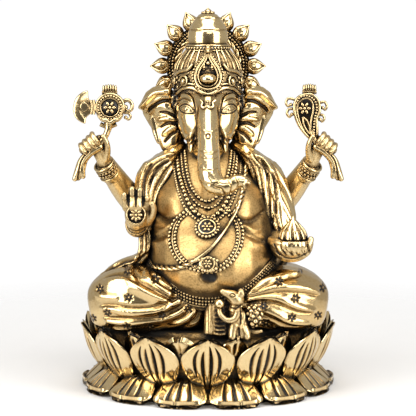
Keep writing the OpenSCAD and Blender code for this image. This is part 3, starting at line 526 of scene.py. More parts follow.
    def tree(self):
        """The form for casting lines onto."""
        self.turn()
        self.mesh.calc_loop_triangles()
        tris = [tuple(t.vertices) for t in self.mesh.loop_triangles]
        return BVHTree.FromPolygons([Vector(p) for p in self.p], tris)

    def done(self, name, nodes, slot=POLISHED):
        """Finishes the form as a piece."""
        self.turn()
        # The dark marks go onto the surface: patina, and painted shade where a mark stands for it.
        layer = self.mesh.attributes.new("patina_and_shade", "FLOAT", "POINT")
        layer.data.foreach_set("value", self.dark)
        return settle(name, self.mesh, nodes, slot)


def laid(tree, points, lift, closed=False):
    """A front-view path laid on a form and lifted off it."""
    out = []
    way = Vector((0, 1, 0))
    for x, z in curve(points, 6, closed):
        hit, normal, _, _ = tree.ray_cast(Vector((x, 0, z)) - way * 150, way)
        if hit is not None:
            out.append(hit + normal * lift)
    path = np.array(out)
    for _ in range(4):
        path[1:-1] = path[1:-1] * 0.5 + (path[:-2] + path[2:]) * 0.25
    return path


def settle(name, mesh, nodes, slot=POLISHED):
    """Turns a mesh in millimetres into a finished piece of the figure."""
    mesh.transform(Matrix.Scale(MM, 4))
    mesh.materials.clear()
    mesh.materials.append(finish_of(slot))
    mesh.polygons.foreach_set("use_smooth", [True] * len(mesh.polygons))
    mesh.update()
    piece = bpy.data.objects.new(name, mesh)
    bpy.context.scene.collection.objects.link(piece)
    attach(piece, "root")
    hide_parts(*nodes)
    return piece


def piece_of(name, bm, nodes, slot=POLISHED, closed=True):
    """Finishes a bmesh as a piece."""
    if closed:
        bmesh.ops.recalc_face_normals(bm, faces=bm.faces)
    mesh = bpy.data.meshes.new(name)
    bm.to_mesh(mesh)
    bm.free()
    return settle(name, mesh, nodes, slot)


# ---------- what a user may change ----------
class BrassFinish(bpy.types.PropertyGroup):
    """Colours of the brass, and of its patina and painted shade"""

    bright: bpy.props.StringProperty(name="Bright brass", description="Rubbed high parts, sRGB hex",
                                     default="#EAD3A2")
    warm: bpy.props.StringProperty(name="Warm brass", description="Lightly toned parts, sRGB hex",
                                   default="#C3A068")
    brown: bpy.props.StringProperty(name="Toned brass", description="Edge of the hollows, sRGB hex",
                                    default="#5A4526")
    # The darkest colour is shown by the patina and by the painted shade.
    patina_and_shade: bpy.props.StringProperty(name="Patina and shade", description="Deep hollows, sRGB hex", default="#14100A")


class LotusSizes(bpy.types.PropertyGroup):
    """Sizes of the lotus base's carving"""

    groove: bpy.props.FloatProperty(name="Groove depth", description="Depth of a petal's grooves",
                                    default=0.0011,
                                    min=0.0002, max=0.002, unit="LENGTH")
    rim: bpy.props.FloatProperty(name="Rim height", description="How far a petal's rim stands up",
                                 default=0.0005,
                                 min=0, max=0.0015, unit="LENGTH")


class StageLight(bpy.types.PropertyGroup):
    """The room and lights"""

    floor: bpy.props.StringProperty(name="Floor", description="Colour of the floor, sRGB hex",
                                    default="#DAD9D8")
    power: bpy.props.FloatProperty(name="Light power", description="Strength of the soft boxes",
                                   default=1.0, min=0.1, max=5)


# ---------- lotus base ----------
def petal_row(name, node, mid, start, grooves, cut, rim, seg=(70, 40), finish=POLISHED):
    """Fourteen leaf-like petals. mid gives (distance in from the reach, height, share of the width, curl)."""
    table = curve(mid, 10)
    place = np.linspace(0, 1, len(table))
    bm = bmesh.new()
    mark = bm.verts.layers.float.new("patina_and_shade")
    half_step = math.pi / PETALS
    for i in range(PETALS):
        grid = bmesh.ops.create_grid(bm, x_segments=seg[0], y_segments=seg[1], size=1)["verts"]
        turn = Matrix.Rotation(-math.pi / 2 + start + i * 2 * half_step, 4, "Z")
        # Tips lean away from the front.
        lean = TIP_LEAN * math.tanh(3 * math.sin(start + i * 2 * half_step))
        for v in grid:
            t, s = v.co.x, (v.co.y + 1) / 2
            inset, z, share, curl = (np.interp(s, place, table[:, k]) for k in range(4))
            drop = curl * t * t
            r = BASE_R - inset - drop
            wide = share * ((BASE_R - inset - curl) * math.tan(half_step) - 0.25)
            away = lean * s**3
            # Grooves run from root to tip between rounded ribs, and the rim stands up a little.
            g = 0.0
            for t0, s0, s1, w in grooves:
                window = max(0.0, 1 - ((s - (s0 + s1) / 2) / ((s1 - s0) / 2)) ** 2)
                if window > 0:
                    g = max(g, window**0.5 * math.exp(-(((t - t0) / (w * (0.35 + 0.65 * window))) ** 2)))
            lip = math.exp(-(((abs(t) - 0.93) / 0.09) ** 2)) * min(1,
                    s * 2.5) + (math.exp(-(((s - 0.985) / 0.03) ** 2)))
            swell = 0.55 * math.cos(t * math.pi / 2) ** 0.5 if abs(t) < 1 else 0
            push = -cut * g + rim * min(lip, 1) + swell * math.sin(math.pi * s) * 0.6
            v.co = turn @ Vector((min(r + push, BASE_R + PETAL_OVER), wide * t + away, max(z, PETAL_Z)))
            v[mark] = min(1, g * 1.25)
    bmesh.ops.recalc_face_normals(bm, faces=bm.faces)
    outward = sum(f.normal.dot(f.calc_center_median() * Vector((1, 1, 0))) for f in list(bm.faces)[::97])
    if outward < 0:
        bmesh.ops.reverse_faces(bm, faces=bm.faces)
    piece = piece_of(name, bm, [node], closed=False)
    piece.data.materials[0] = finish_of(finish)
    shell = piece.modifiers.new("thickness", "SOLIDIFY")
    shell.thickness, shell.offset = -PETAL_T * MM, 1
    shell.use_even_offset = False
    bpy.context.view_layer.update()
    solid = bpy.data.meshes.new_from_object(piece.evaluated_get(bpy.context.evaluated_depsgraph_get()))
    piece.modifiers.clear()
    piece.data = solid
    solid.set_sharp_from_angle(angle=math.radians(45))
    return piece


class FIGURE_OT_lotus(bpy.types.Operator):
    """Models the plinth, the seat and the three rows of petals"""

    bl_idname = "figure.lotus"
    bl_label = "Lotus base"

    def execute(self, context):
        sizes = context.scene.lotus_sizes
        cut, rim = sizes.groove / MM, sizes.rim / MM
        k = SEAT_Z
        lines = [(-0.5, 0.22, 0.74, 0.05), (-0.2, 0.06, 0.7, 0.065), (0.12, 0.04, 0.82, 0.06),
                 (0.44, 0.2, 0.78, 0.05)]
        petal_row("upper_petals_carved", "upper_petals",
                  [(9.6, 0.22 * k, 0.4, 1), (6.8, 0.33 * k, 0.66, 2.2), (4.2, 0.46 * k, 0.88, 3),
                   (2.4, 0.6 * k, 0.99, 3.1),
                   (1.3, 0.73 * k, 0.94, 2.4), (0.6, 0.84 * k, 0.68, 1.3), (0.1, 0.92 * k, 0.34, 0.5),
                   (-0.3, 0.98 * k, 0.02, 0)],
                  0, lines, cut, rim)
        petal_row("inner_petals_carved", "inner_petals",
                  [(6.6, 0.62 * k, 0.62, 1), (5.9, 0.78 * k, 0.6, 1), (5.2, 0.89 * k, 0.42, 0.7),
                   (4.8, 0.96 * k, 0.04, 0)],
                  math.pi / PETALS, [(0, 0.2, 0.9, 0.1)], cut * 0.5, rim, (20, 24))
        petal_row("lower_petals_carved", "lower_petals",
                  [(11.2, 0.37 * k, 0.45, 1.4), (8, 0.33 * k, 0.72, 2.4), (4.6, 0.22 * k, 0.93, 2.4),
                   (2.2, 0.125 * k, 0.98, 1.6),
                   (1.2, 0.08 * k, 0.84, 1), (0.7, 0.066 * k, 0.52, 0.4), (0.4, 0.062 * k, 0.04, 0)],
                  math.pi / PETALS, [(-0.46, 0.1, 0.78, 0.06), (-0.06, 0.05, 0.7, 0.075),
                                     (0.38, 0.1, 0.8, 0.065)], cut, rim,
                  finish="foot_brass")
        plinth = Clay(copy_of("plinth", "seat_cushion"), 0.8, 3)
        plinth.p += plinth.n * (0.12 * np.sin(plinth.p @ np.array([1.7, 2.3, 1.1])))[:, None]
        # Painted shade: the plinth and seat are darkened all over and take the dark brass, as patina and as
        # the shade that lies under the legs.
        plinth.dark[:] = 0.35
        plinth.done("plinth_and_seat", ["plinth", "seat_cushion"], DARK)
        return {"FINISHED"}


# ---------- body ----------
class FIGURE_OT_body(bpy.types.Operator):
    """Models the torso and what it wears"""

    bl_idname = "figure.body"
    bl_label = "Body and jewellery"

    def execute(self, context):
        c = Clay(copy_of("torso"), 0.55, 10)
        c.dark[:] = 0.2
        # Chest, soft folds of the sides, belly
        for side in (-1, 1):
            c.swell((side * 13.5 + 0.5, 76), (10.5, 9), 3.2)
        c.swell((1.5, 55), (24, 14), 1.6)
        c.turn()
        for side in (-1, 1):
            c.stroke(sided(side, [(22, 72), (17, 69), (12, 69.5), (8, 72.5)]), 1.7, -1.5, dark=0.4,
                     taper=0.8)
            c.stroke(sided(side, [(22, 61), (17, 63), (13, 66.5)]), 1.6, -1.2, dark=0.3, taper=0.9)
            c.stroke(sided(side, [(21, 66), (17.5, 65.5), (13, 68)]), 1.6, 0.7)
            c.stroke(sided(side, [(23, 58.5), (19, 60), (15, 62.5)]), 1.8, 0.6)
        c.stroke([(0, 84), (0.2, 78), (0, 73)], 2.6, -1.1)
        # The back: a spine furrow, rolls at the waist and a broad seat under the cloth
        c.stroke([(0, 84), (0, 66), (0, 52)], 2.6, -1.4, "back", taper=0.4)
        for side in (-1, 1):
            c.swell((side * 10, 74), (9, 12), 1.8, "back")
            c.stroke(sided(side, [(22, 62), (15, 57), (6, 58)]), 2.4, -1.2, "back")
            c.swell((side * 11, 36), (13, 12), 3.4, "back")
            for k in range(4):
                c.stroke(sided(side, [(2, 45 - 4 * k), (12, 43 - 4.4 * k), (22, 40 - 4 * k)]), 1.4, 0.7,
                         "back", lean=0.3, dark=0.4)
        c.soften(2)
        # Painted shade about the edges of the belly, up its sides and under the chest: dark marks that raise
        # nothing.
        c.stroke([(-22, 53), (-18.4, 47.6), (-12.6, 44), (-6.6, 41.8), (0, 41), (6.6, 42), (12.6, 44.4),
                  (18, 48), (23, 53)],
                 4.6, 0, dark=0.62, taper=0.1)
        for side in (-1, 1):
            c.stroke(sided(side, [(23, 54), (23.6, 62), (22.6, 70), (21, 78)]), 4.6, 0, dark=0.5, taper=0.1)
            c.stroke(sided(side, [(20, 71.4), (15.5, 68.4), (10, 69.6)]), 3, 0, dark=0.36)
        c.swell((0.3, 49), (4.2, 3), -2, power=1.1, dark=0.95)
        c.stroke([(-3.6, 50), (0, 51.8), (4, 50), (3.4, 47.6), (0.2, 46.6), (-3, 47.6)], 0.9, 0.5,
                 closed=True)
        c.soften(1)
        skin = c.tree()
        c.done("torso_cast", ["torso"], SATIN)

        # Neck strands and the long double garland, cast as rows of beads
        bm = bmesh.new()
        for path, d in (
            ([(-12.2, 95), (-11.2, 87), (-9.7, 81), (-7.4, 75.5), (-4.2, 71.8), (0, 70.4), (4.2, 72.2),
              (8, 77.5), (10.2, 85), (11.4, 95)], 1.95),
            ([(-14, 94), (-12.9, 87), (-11.6, 80.5), (-8.9, 74.2), (-5, 70.2), (0, 68.4), (5.2, 70.6),
              (9.6, 76.6), (12.2, 85), (13.2, 95)], 1.3),
            ([(-8.8, 94), (-8.2, 87.5), (-6.6, 81.5), (-3.6, 77.4), (-0.4, 76), (3, 77.4), (6.2, 82),
              (8.2, 88), (8.8, 94)], 1.5),
            ([(-10.4, 94), (-9.7, 87.5), (-8.2, 81), (-5, 76), (-0.4, 73.6), (3.8, 75.2), (7.2, 80.4),
              (9.4, 87.4), (10.2, 94)], 1.3),
        ):
            beads(bm, laid(skin, path, d * 0.2), d)
        piece_of("neck_strands", bm, ["neck_beads"])
        bm = bmesh.new()
        loop = [(-4.5, 73.4), (-9.4, 70.2), (-12, 66), (-12.3, 60.5), (-9.6, 55.6), (-4.4, 53), (0.4, 52.4),
                (5, 53.6),
                (9.2, 57.6), (11.2, 63.5), (9.8, 69.2), (5, 73.4)]
        outer = [(x * 1.17, 63 + (z - 63) * 1.12) for x, z in loop]
        beads(bm, laid(skin, loop, 0.35), 1.35)
        beads(bm, laid(skin, outer, 0.35), 1.6)
        wire(bm, laid(skin, [(x * 1.085, 63 + (z - 63) * 1.06) for x, z in loop], 0.1), 0.5)
        piece_of("long_garland", bm, ["garland_beads"])

        # Sacred thread: a twisted cord that flattens over the belly
        bm = bmesh.new()
        line = laid(skin, [(14.6, 92), (14.4, 86), (13.4, 80), (10.2, 72), (5, 64), (-0.6, 58), (-6.6, 54),
                           (-12.6, 51.6), (-20.5, 51)], 0.9)
        third = len(line) // 3
        rope(bm, line[: third + 2], 0.85)
        rope(bm, line[-third:], 0.95)
        for off in (-0.42, 0.42):
            wire(bm, line[third - 2 : -third + 3] + np.array([off * 0.7, -0.1, off]), 0.55)
        piece_of("sacred_thread_twisted", bm, ["sacred_thread"])

        # Breast medallion and the pendant over the navel
        bm = bmesh.new()
        hit, normal, _, _ = skin.ray_cast(Vector((-0.2, -150, 66.8)), Vector((0, 1, 0)))
        m = basis(hit - normal * 0.6, normal)
        disc(bm, m, 4.6, 1.7, 0.5)
        darkening(bm)
        ring(bm, m @ Matrix.Translation((0, 0, 1.75)), 3.15, 0.42)
        bead_ring(bm, m, 4.35, 1.6, 20, 0.66)
        rosette(bm, m @ Matrix.Translation((0, 0, 1.75)), 2.6)
        piece_of("medallion", bm, ["breast_medallion"])
        bm = bmesh.new()
        hit, normal, _, _ = skin.ray_cast(Vector((0.2, -150, 54)), Vector((0, 1, 0)))
        m = basis(hit - normal * 0.5, normal)
        disc(bm, m @ Matrix.Diagonal((1.25, 0.85, 1, 1)), 2.9, 1.6, 0.4)
        rosette(bm, m @ Matrix.Translation((0, 0.2, 1.8)), 1.9)
        for x in np.linspace(-3.4, 3.4, 7):
            ball(bm, m @ Vector((x, 2.3 - 0.07 * x * x, 1.3)), 0.62)
            ball(bm, m @ Vector((x * 0.9, -2.6 + 0.09 * x * x, 1.3)), 0.7)
        ring(bm, m @ Matrix.Translation((0, 0.2, 1.5)), 2.5, 0.35)
        piece_of("pendant", bm, ["navel_pendant"])

        # Belt: a dark band under two rows of beads
        bm = bmesh.new()
        low = [(-23.5, 52), (-21.6, 50.4), (-18.4, 46.4), (-12.6, 42.8), (-6.6, 40.4), (0, 39.6),
               (6.6, 40.6), (12.6, 43), (18, 46.6), (22.4, 50.6), (25.4, 53)]
        front = laid(skin, low, 0.7)
        for off in (-1.2, 0, 1.2):
            beads(bm, front + np.array([0, abs(off) * 0.12, off]), 1.1, 0.12)
        for off in (-2.1, 2.1):
            wire(bm, front + np.array([0, 0.4, off]), 0.36)
        piece_of("belt_beads_cast", bm, ["belt_beads"], DARK)
        band = Clay(copy_of("belt"), 0.5, 3)
        band.dark[:] = 0.35
        band.done("belt_band", ["belt"], DARK)
        return {"FINISHED"}


class FIGURE_OT_legs(bpy.types.Operator):
    """Models the folded legs under their printed cloth and the pleats between them"""

    bl_idname = "figure.legs"
    bl_label = "Legs and cloth"

    def execute(self, context):
        c = Clay(copy_of("right_leg"), 0.38, 30)
        c.dark[:] = 0.05
        for path, w, h in (
            ([(-28, 53), (-30, 49.5), (-27, 45.5), (-21, 42.5), (-15, 40)], 2.6, 1.3),
            ([(-40, 46), (-33, 47), (-27, 44.4), (-20, 41), (-13, 38.6)], 2.6, 1.4),
            ([(-24, 51), (-22, 47), (-17, 43.5), (-11, 41)], 2.2, 1.1),
            ([(-41, 36), (-36, 36), (-29, 35), (-21, 35.6), (-14, 37.8), (-10, 40)], 2.4, 1.5),
            ([(-40, 31.5), (-34, 30.8), (-26, 31), (-18, 32), (-11, 35), (-7.5, 38.5)], 2.6, 1.5),
            ([(-37, 27.8), (-30, 27.2), (-22, 28), (-14, 29.6), (-8, 32.4), (-4.6, 36.6)], 2.3, 1.3),
            ([(-14, 26.6), (-8, 28.6), (-3.6, 32), (-2.2, 37)], 1.9, 1.1),
            ([(-44, 41.5), (-40, 40.4), (-34, 40.5)], 2, 0.6),
        ):
            c.stroke(path, w, h * 0.72, lean=0.3, dark=0.4, taper=0.8)
        c.soften(3)
        for at in ((-41.5, 43), (-30, 40.6), (-38.5, 34.2), (-17.4, 34.2), (-7.6, 36.4), (-31, 29.2),
                   (-22, 28.6), (-31, 50), (-44.5, 31), (-20, 47.4)):
            c.stamp(at, 1.9, depth=0.4, turn=at[0])
        c.stamp((-12, 48), 1.7, "right")
        c.done("right_leg_cloth", ["right_leg"])

        c = Clay(copy_of("left_leg"), 0.38, 30)
        c.dark[:] = 0.1
        for path, w, h in (
            ([(16, 43), (21, 46), (28, 48.6), (36, 49)], 2.4, 1.2),
            ([(14.6, 41.4), (21, 43.6), (29, 44.6), (37, 43.5), (43, 41)], 2.6, 1.4),
            ([(13.6, 39), (20, 40.8), (27, 40), (34, 36.6), (41, 34.6)], 2.5, 1.5),
            ([(12, 36.6), (18, 36.8), (25, 34.2), (32, 30.6), (39.6, 29.4)], 2.4, 1.2),
            ([(9, 33), (14, 32), (20, 29.5), (27, 27.6)], 2, 0.8),
        ):
            c.stroke(path[::-1], w, h * 0.72, lean=0.3, dark=0.4, taper=0.8)
        c.soften(3)
        for at in ((33.4, 40.2), (32, 32.8), (42.4, 32.6), (36, 50.4), (21, 37.6), (27, 46.6), (44.5, 43),
                   (22, 30.6)):
            c.stamp(at, 1.95, depth=0.4, turn=at[0])
        c.stamp((-12, 48), 1.7, "left")
        c.done("left_leg_cloth", ["left_leg"])

        # The pleats fall between the legs, crossed by raised bars.
        c = Clay(copy_of("dhoti_pleat"), 0.35, 3)
        for x in (0.6, 3.1, 6.2, 8.8):
            c.stroke([(x, 41), (x + 0.2, 34), (x + 0.4, 27)], 0.9, 0.5, taper=0)
        for z in np.arange(27.6, 40.5, 1.55):
            c.stroke([(2.6, z), (4.6, z - 0.15), (6.6, z)], 0.55, 0.7, taper=0)
            c.stroke([(2.6, z + 0.78), (6.6, z + 0.78)], 0.45, -0.5, taper=0, dark=0.9)
        c.done("pleats", ["dhoti_pleat"], DARK)
        return {"FINISHED"}


class FIGURE_OT_shawl(bpy.types.Operator):
    """Models the shawl over both shoulders, across the back and down to the knee"""

    bl_idname = "figure.shawl"
    bl_label = "Shawl"

    def execute(self, context):
        c = Clay(copy_of("shawl_right"), 0.45, 8)
        for path, w, h in (
            ([(-12.5, 93.5), (-19, 91.5), (-24.4, 87.4), (-26, 80), (-24.6, 74)], 1.2, 0.9),
            ([(-14.5, 92), (-20, 88.4), (-22.8, 82.6), (-23.2, 75)], 1.1, 0.9),
            ([(-13.6, 91), (-18, 86.4), (-21.2, 80), (-22.6, 72)], 1.1, 0.9),
            ([(-12, 90.4), (-15.6, 85), (-19.2, 79), (-21.6, 71)], 1.2, 1.1),
            ([(-22, 90), (-25.6, 84), (-26, 77)], 1, 0.7),
        ):
            c.stroke(path, w, h, lean=0.35, dark=0.7, taper=0.5)
            c.stroke(path, w, h * 0.8, "back", lean=0.3, dark=0.6, taper=0.5)
        for y in (-14, -9, -4, 1):
            c.stroke([(y, 90), (y - 3, 80), (y - 6, 68)], 1.2, 0.8, "right", lean=0.3, dark=0.6)
        c.soften(1)
        c.done("shawl_right_folds", ["shawl_right"])

        c = Clay(copy_of("shawl_left"), 0.45, 8)
        for path, w, h in (
            ([(13, 94), (17.6, 90), (20, 82), (21.4, 74), (22.8, 64)], 1.2, 1.1),
            ([(16, 94), (20.4, 88), (22, 80), (22.6, 72), (25, 62)], 1.2, 0.9),
            ([(18, 93.6), (23, 87.4), (24.6, 79), (24.8, 71), (27.4, 62)], 1.2, 0.9),
            ([(20, 93), (25.4, 86), (27, 77), (27.2, 69), (29, 62)], 1.2, 0.9),
            ([(25, 79), (26.6, 73), (25.6, 67), (28, 61)], 1, 0.8),
        ):
            c.stroke(path[::-1], w, h, lean=0.35, dark=0.7, taper=0.5)
            c.stroke(path[::-1], w, h * 0.8, "back", lean=0.3, dark=0.6, taper=0.5)
        for y in (-14, -9, -4, 1):
            c.stroke([(y, 90), (y - 3, 80), (y - 6, 66)], 1.2, 0.8, "left", lean=0.3, dark=0.6)
        c.soften(1)
        c.done("shawl_left_folds", ["shawl_left"])

        c = Clay(copy_of("shawl_back"), 0.6, 10)
        for i in range(5):
            z = 86 - i * 4
            c.stroke([(-24, z - 2), (-12, z - 5.5), (0, z - 8.5), (12, z - 5.5), (24, z - 2)], 2, 1, "back",
                     lean=0.3, dark=0.5)
        c.done("shawl_back_folds", ["shawl_back"])

        c = Clay(copy_of("shawl_tail"), 0.4, 6)
        for k in (-1, 0, 1):
            c.stroke([(-25 + 1.6 * k, 66), (-24.4 + 1.7 * k, 58 + 0.4 * k), (-27 + 1.2 * k, 53.5 + 1.4 * k),
                      (-33, 50.6 + 1.8 * k),
                      (-40, 46.6 + 1.8 * k), (-43, 42 + k)], 0.95, 0.8, lean=0.3, dark=0.8, taper=0.4)
        c.soften(1)
        c.done("shawl_tail_folds", ["shawl_tail"])
        return {"FINISHED"}


def cuff(bm, a, b, r):
    """A bracelet along an arm: two rows of beads between wire rings, about a plain sleeve."""
    a, b = Vector(a), Vector(b)
    m = basis(a, b - a, (0.1, 1, 0.2))
    long = (b - a).length
    for z, t in ((0, 0.55), (long * 0.2, 0.35), (long * 0.8, 0.35), (long, 0.55)):
        ring(bm, m @ Matrix.Translation((0, 0, z)), r, t)
    for share, phase in ((0.36, 0), (0.64, 0.5)):
        bead_ring(bm, m, r, long * share, 18, 0.62, phase)
    bmesh.ops.create_cone(bm, cap_ends=True, segments=32, radius1=r * 0.98, radius2=r * 0.98,
                          depth=long * 1.12,
                          matrix=m @ Matrix.Translation((0, 0, long / 2)))


def fist(s, node):
    """A closed hand about a grip: four curled fingers in a slanting row and the thumb up along the neck."""
    bm = bmesh.new()
    chain(bm, sided(s, [(38.6, -4.2, 84.4, 3.8), (39.8, -5.8, 87.8, 3.7), (41.2, -7.8, 91.2, 3),
                        (42.8, -9.4, 94.6, 2.9), (44.6, -10, 97.4, 2.7)]))
    chain(bm, sided(s, [(42.6, -10, 98.8, 2), (45.4, -10, 97, 2.4), (48.6, -10, 95, 2.1)]))
    for i in range(4):
        x, z, r = 44.2 + 1.55 * i, 99.2 - 1.4 * i, 1.08 - 0.06 * i
        chain(bm, [(s * (x + 1.3), -9.8, z + 1.9, r), (s * (x + 0.9), -12.6, z + 1.3, r),
                   (s * (x - 0.5), -13.7, z - 0.5, r),
                   (s * (x - 1.5), -13, z - 1.8, r * 0.85)], 4)
    chain(bm, sided(s, [(40.2, -9.4, 91.4, 1.7), (39.5, -11, 94.6, 1.4), (39.7, -12, 97.6, 1.2),
                        (41, -12.4, 100.2, 1.05)]))
    c = Clay(bm, 0.26, 3)
    for i in range(4):
        x, z = s * (42.9 + 1.55 * i), 97.6 - 1.4 * i
        c.stroke([(x - 0.45 * s, z - 0.1), (x, z + 0.5), (x + 0.5 * s, z + 0.5)], 0.32, -0.28, dark=0.6)
    c.done(node + "_cast", [node], SATIN)


def open_hand():
    """The raised right hand, palm forward."""
    bm = bmesh.new()
    chain(bm, [(-27.5, -22, 66, 3.4), (-27.4, -26, 68.4, 4.2), (-27.4, -28.4, 71.6, 4.6),
               (-27.6, -29.6, 75, 4)])
    for x, top, r in ((-31.8, 80.6, 1.35), (-28.9, 82.8, 1.5), (-25.9, 82.4, 1.5), (-23.3, 79.4, 1.3)):
        base = -27.4 + (x + 27.4) * 0.86
        chain(bm, [(base, -29.4, 74, r + 0.25), (x * 0.5 + base * 0.5, -30.6, 77, r),
                   (x, -30.9, top - 2, r), (x, -31.4, top - r, r * 0.8)])
    chain(bm, [(-23.8, -26.4, 68.4, 2.2), (-21.8, -28.4, 71, 1.8), (-21, -29.6, 73.6, 1.5),
               (-21.4, -30.6, 75.6, 1.2)])
    c = Clay(bm, 0.3, 4)
    for x in (-30.4, -27.4, -24.6):
        c.stroke([(x, 74.6), (x, 78), (x, 82)], 0.7, -0.8, dark=1, taper=0.2)
    for x, z in ((-31.8, 77.4), (-28.9, 78.8), (-25.9, 78.6), (-23.3, 76.8)):
        c.stroke([(x - 1, z), (x, z - 0.25), (x + 1, z)], 0.35, -0.25, dark=0.4)
    c.swell((-27.4, 70.6), (4.6, 4.6), -0.9)
    c.stroke([(-31.4, 66.4), (-27.4, 64.8), (-23.4, 66.6)], 0.5, -0.4, dark=0.6)
    palm = c.tree().ray_cast(Vector((-27.4, -150, 71.6)), Vector((0, 1, 0)))[0]
    c.done("open_hand", ["front_right_hand"], SATIN)
    # An eight-petalled lotus stands up from the palm.
    m = basis(palm + Vector((0, 0.4, 0)), (0, -1, 0.05))
    bm = bmesh.new()
    disc(bm, m, 3.7, 0.8, 0.25)
    darkening(bm)
    ring(bm, m @ Matrix.Translation((0, 0, 0.8)), 3.5, 0.35)
    rosette(bm, m @ Matrix.Translation((0, 0, 0.85)), 2.9, 8)
    piece_of("palm_lotus", bm, ["palm_rosette"])


def cupped_hand():
    """The left hand, palm up, its fingers curled in a boat shape under the sweet."""
    bm = bmesh.new()
    chain(bm, [(26, -21.5, 60.8, 4.2), (27.6, -26.5, 59.4, 4.2), (30, -31, 58.4, 3.8),
               (33.4, -32.5, 58, 3.2)])
    for y, dz in ((-36.5, 1.5), (-34.1, -0.4), (-31.3, -1.6), (-28.5, -1.4)):
        chain(bm, [(25.4, y + 4, 59.6 + dz, 1.8), (29, y, 56.9 + dz, 1.7), (33.6, y, 56.6 + dz, 1.6),
                   (37.6, y + 1, 58.6 + dz, 1.6),
                   (39, y + 1.6, 61 + dz, 1.3)])
    chain(bm, [(24.6, -29.9, 61.4, 2), (26.4, -34.3, 61.4, 1.5), (29.4, -37.3, 60.6, 1.15)])
    c = Clay(bm, 0.34, 4)
    # Leaf-like lines run down from the rim.
    c.stroke([(25, 58), (29.6, 55.7), (34, 55.6), (38, 57.8)], 0.45, -0.4, dark=0.8)
    for i in range(6):
        x = 25 + 2.5 * i
        c.stroke([(x, 61), (x + 0.8, 58.8), (x + 2.2, 56.4)], 0.6, -0.8, dark=1)
    c.done("bowl_hand", ["front_left_hand"], SATIN)


class FIGURE_OT_arms(bpy.types.Operator):
    """Models the four arms, their hands and bracelets"""

    bl_idname = "figure.arms"
    bl_label = "Arms and hands"

    def execute(self, context):
        for side in ("right", "left"):
            for row in ("front", "rear"):
                node = f"{row}_{side}_arm"
                c = Clay(copy_of(node), 0.45, 8)
                c.done(node + "_cast", [node], SATIN)
            fist(-1 if side == "right" else 1, f"rear_{side}_hand")
        open_hand()
        cupped_hand()

        bm = bmesh.new()
        for s in (-1, 1):
            cuff(bm, (s * 38.9, -4.3, 84.9), (s * 41.1, -6.9, 88.9), 3.85)
        cuff(bm, (-27.5, -18.5, 65.9), (-27.4, -23.5, 67.4), 4.1)
        cuff(bm, (30.7, -17.5, 60.6), (31, -23, 60), 4.4)
        piece_of("bracelets_chased", bm, ["bracelets"])
        return {"FINISHED"}


class FIGURE_OT_offerings(bpy.types.Operator):
    """Models the bowl with its sweet, the axe and the noose with their ribbons"""

    bl_idname = "figure.offerings"
    bl_label = "Bowl, axe and noose"

    def execute(self, context):
        # The dish, with a gadrooned side
        lo, hi = (Vector(v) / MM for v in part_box("sweet_bowl"))
        cx, cy = (lo.x + hi.x) / 2, (lo.y + hi.y) / 2
        r = (hi.x - lo.x) / 2 * 0.92
        lo.z -= 1.4
        bm = bmesh.new()
        lathe(bm, [(0.01, lo.z), (r * 0.45, lo.z + 0.1), (r * 0.78, lo.z + 1.3), (r * 0.95, lo.z + 3.2),
                   (r, hi.z - 0.3), (r * 0.95, hi.z),
                   (r * 0.88, hi.z - 0.3), (r * 0.5, hi.z - 0.5), (0.01, hi.z - 0.6)], 96, (cx, cy))
        for v in bm.verts:
            a = math.atan2(v.co.y - cy, v.co.x - cx)
            if v.co.z < hi.z - 0.4:
                k = 1 + 0.09 * abs(math.sin(a * 9)) - 0.03
                v.co.x, v.co.y = cx + (v.co.x - cx) * k, cy + (v.co.y - cy) * k
        piece_of("dish", bm, ["sweet_bowl"])
        # The sweet: pleats gathered to a twisted point
        lo, hi = (Vector(v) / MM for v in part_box("modak"))
        cx, cy, r = (lo.x + hi.x) / 2, (lo.y + hi.y) / 2, (hi.x - lo.x) / 2
        lo.z -= 0.6
        h = hi.z - lo.z
        bm = bmesh.new()
        shape = curve([(r * 0.7, lo.z), (r * 0.98, lo.z + h * 0.14), (r, lo.z + h * 0.28),
                       (r * 0.84, lo.z + h * 0.5), (r * 0.52, lo.z + h * 0.7),
                       (r * 0.22, lo.z + h * 0.86), (0.02, hi.z)], 6)
        lathe(bm, [tuple(p) for p in shape], 120, (cx, cy))
        for v in bm.verts:
            a = math.atan2(v.co.y - cy, v.co.x - cx)
            up = (v.co.z - lo.z) / h
            k = 1 - 0.2 * abs(math.sin(a * 5 + up * 1.4)) ** 6 * math.sin(math.pi * min(1,
                    up + 0.15)) ** 0.5
            v.co.x, v.co.y = cx + (v.co.x - cx) * k, cy + (v.co.y - cy) * k
        piece_of("pleated_sweet", bm, ["modak"])

        axe()
        noose()
        for s, ribbon in ((-1, "axe_ribbon"), (1, "noose_ribbon")):
            bm = bmesh.new()
            chain(bm, sided(s, [(42.4, -12, 96.2, 1.6), (46, -12.4, 94, 1.6), (49, -12.2, 90.8, 1.8),
                                (50.6, -12, 87, 1.7),
                       (52.2, -12, 83.6, 1.1)]))
            chain(bm, sided(s, [(48.4, -12, 91, 1.4), (49.4, -12.2, 87.4, 1.5), (49, -12.2, 84.6, 1.1)]))
            chain(bm, sided(s, [(49.4, -11.4, 86, 1.2), (51, -11.2, 83.8, 1.1)]))
            c = Clay(bm, 0.28, 3)
            c.stroke(sided(s, [(46, 95), (49.2, 91.4), (50.4, 87), (51, 82.6)]), 0.5, -0.45, dark=0.9,
                     taper=0.3)
            c.done(ribbon + "_cast", [ribbon])
        return {"FINISHED"}


def bud_scroll(bm, points, y, r=0.62):
    """A curled tendril with a bead in its eye, from front-view points."""
    path = curve([(x, y, z) for x, z in points], 6)
    wire(bm, path, np.linspace(r, r * 0.75, len(path)), 5)
    ball(bm, path[-1], r * 1.25)


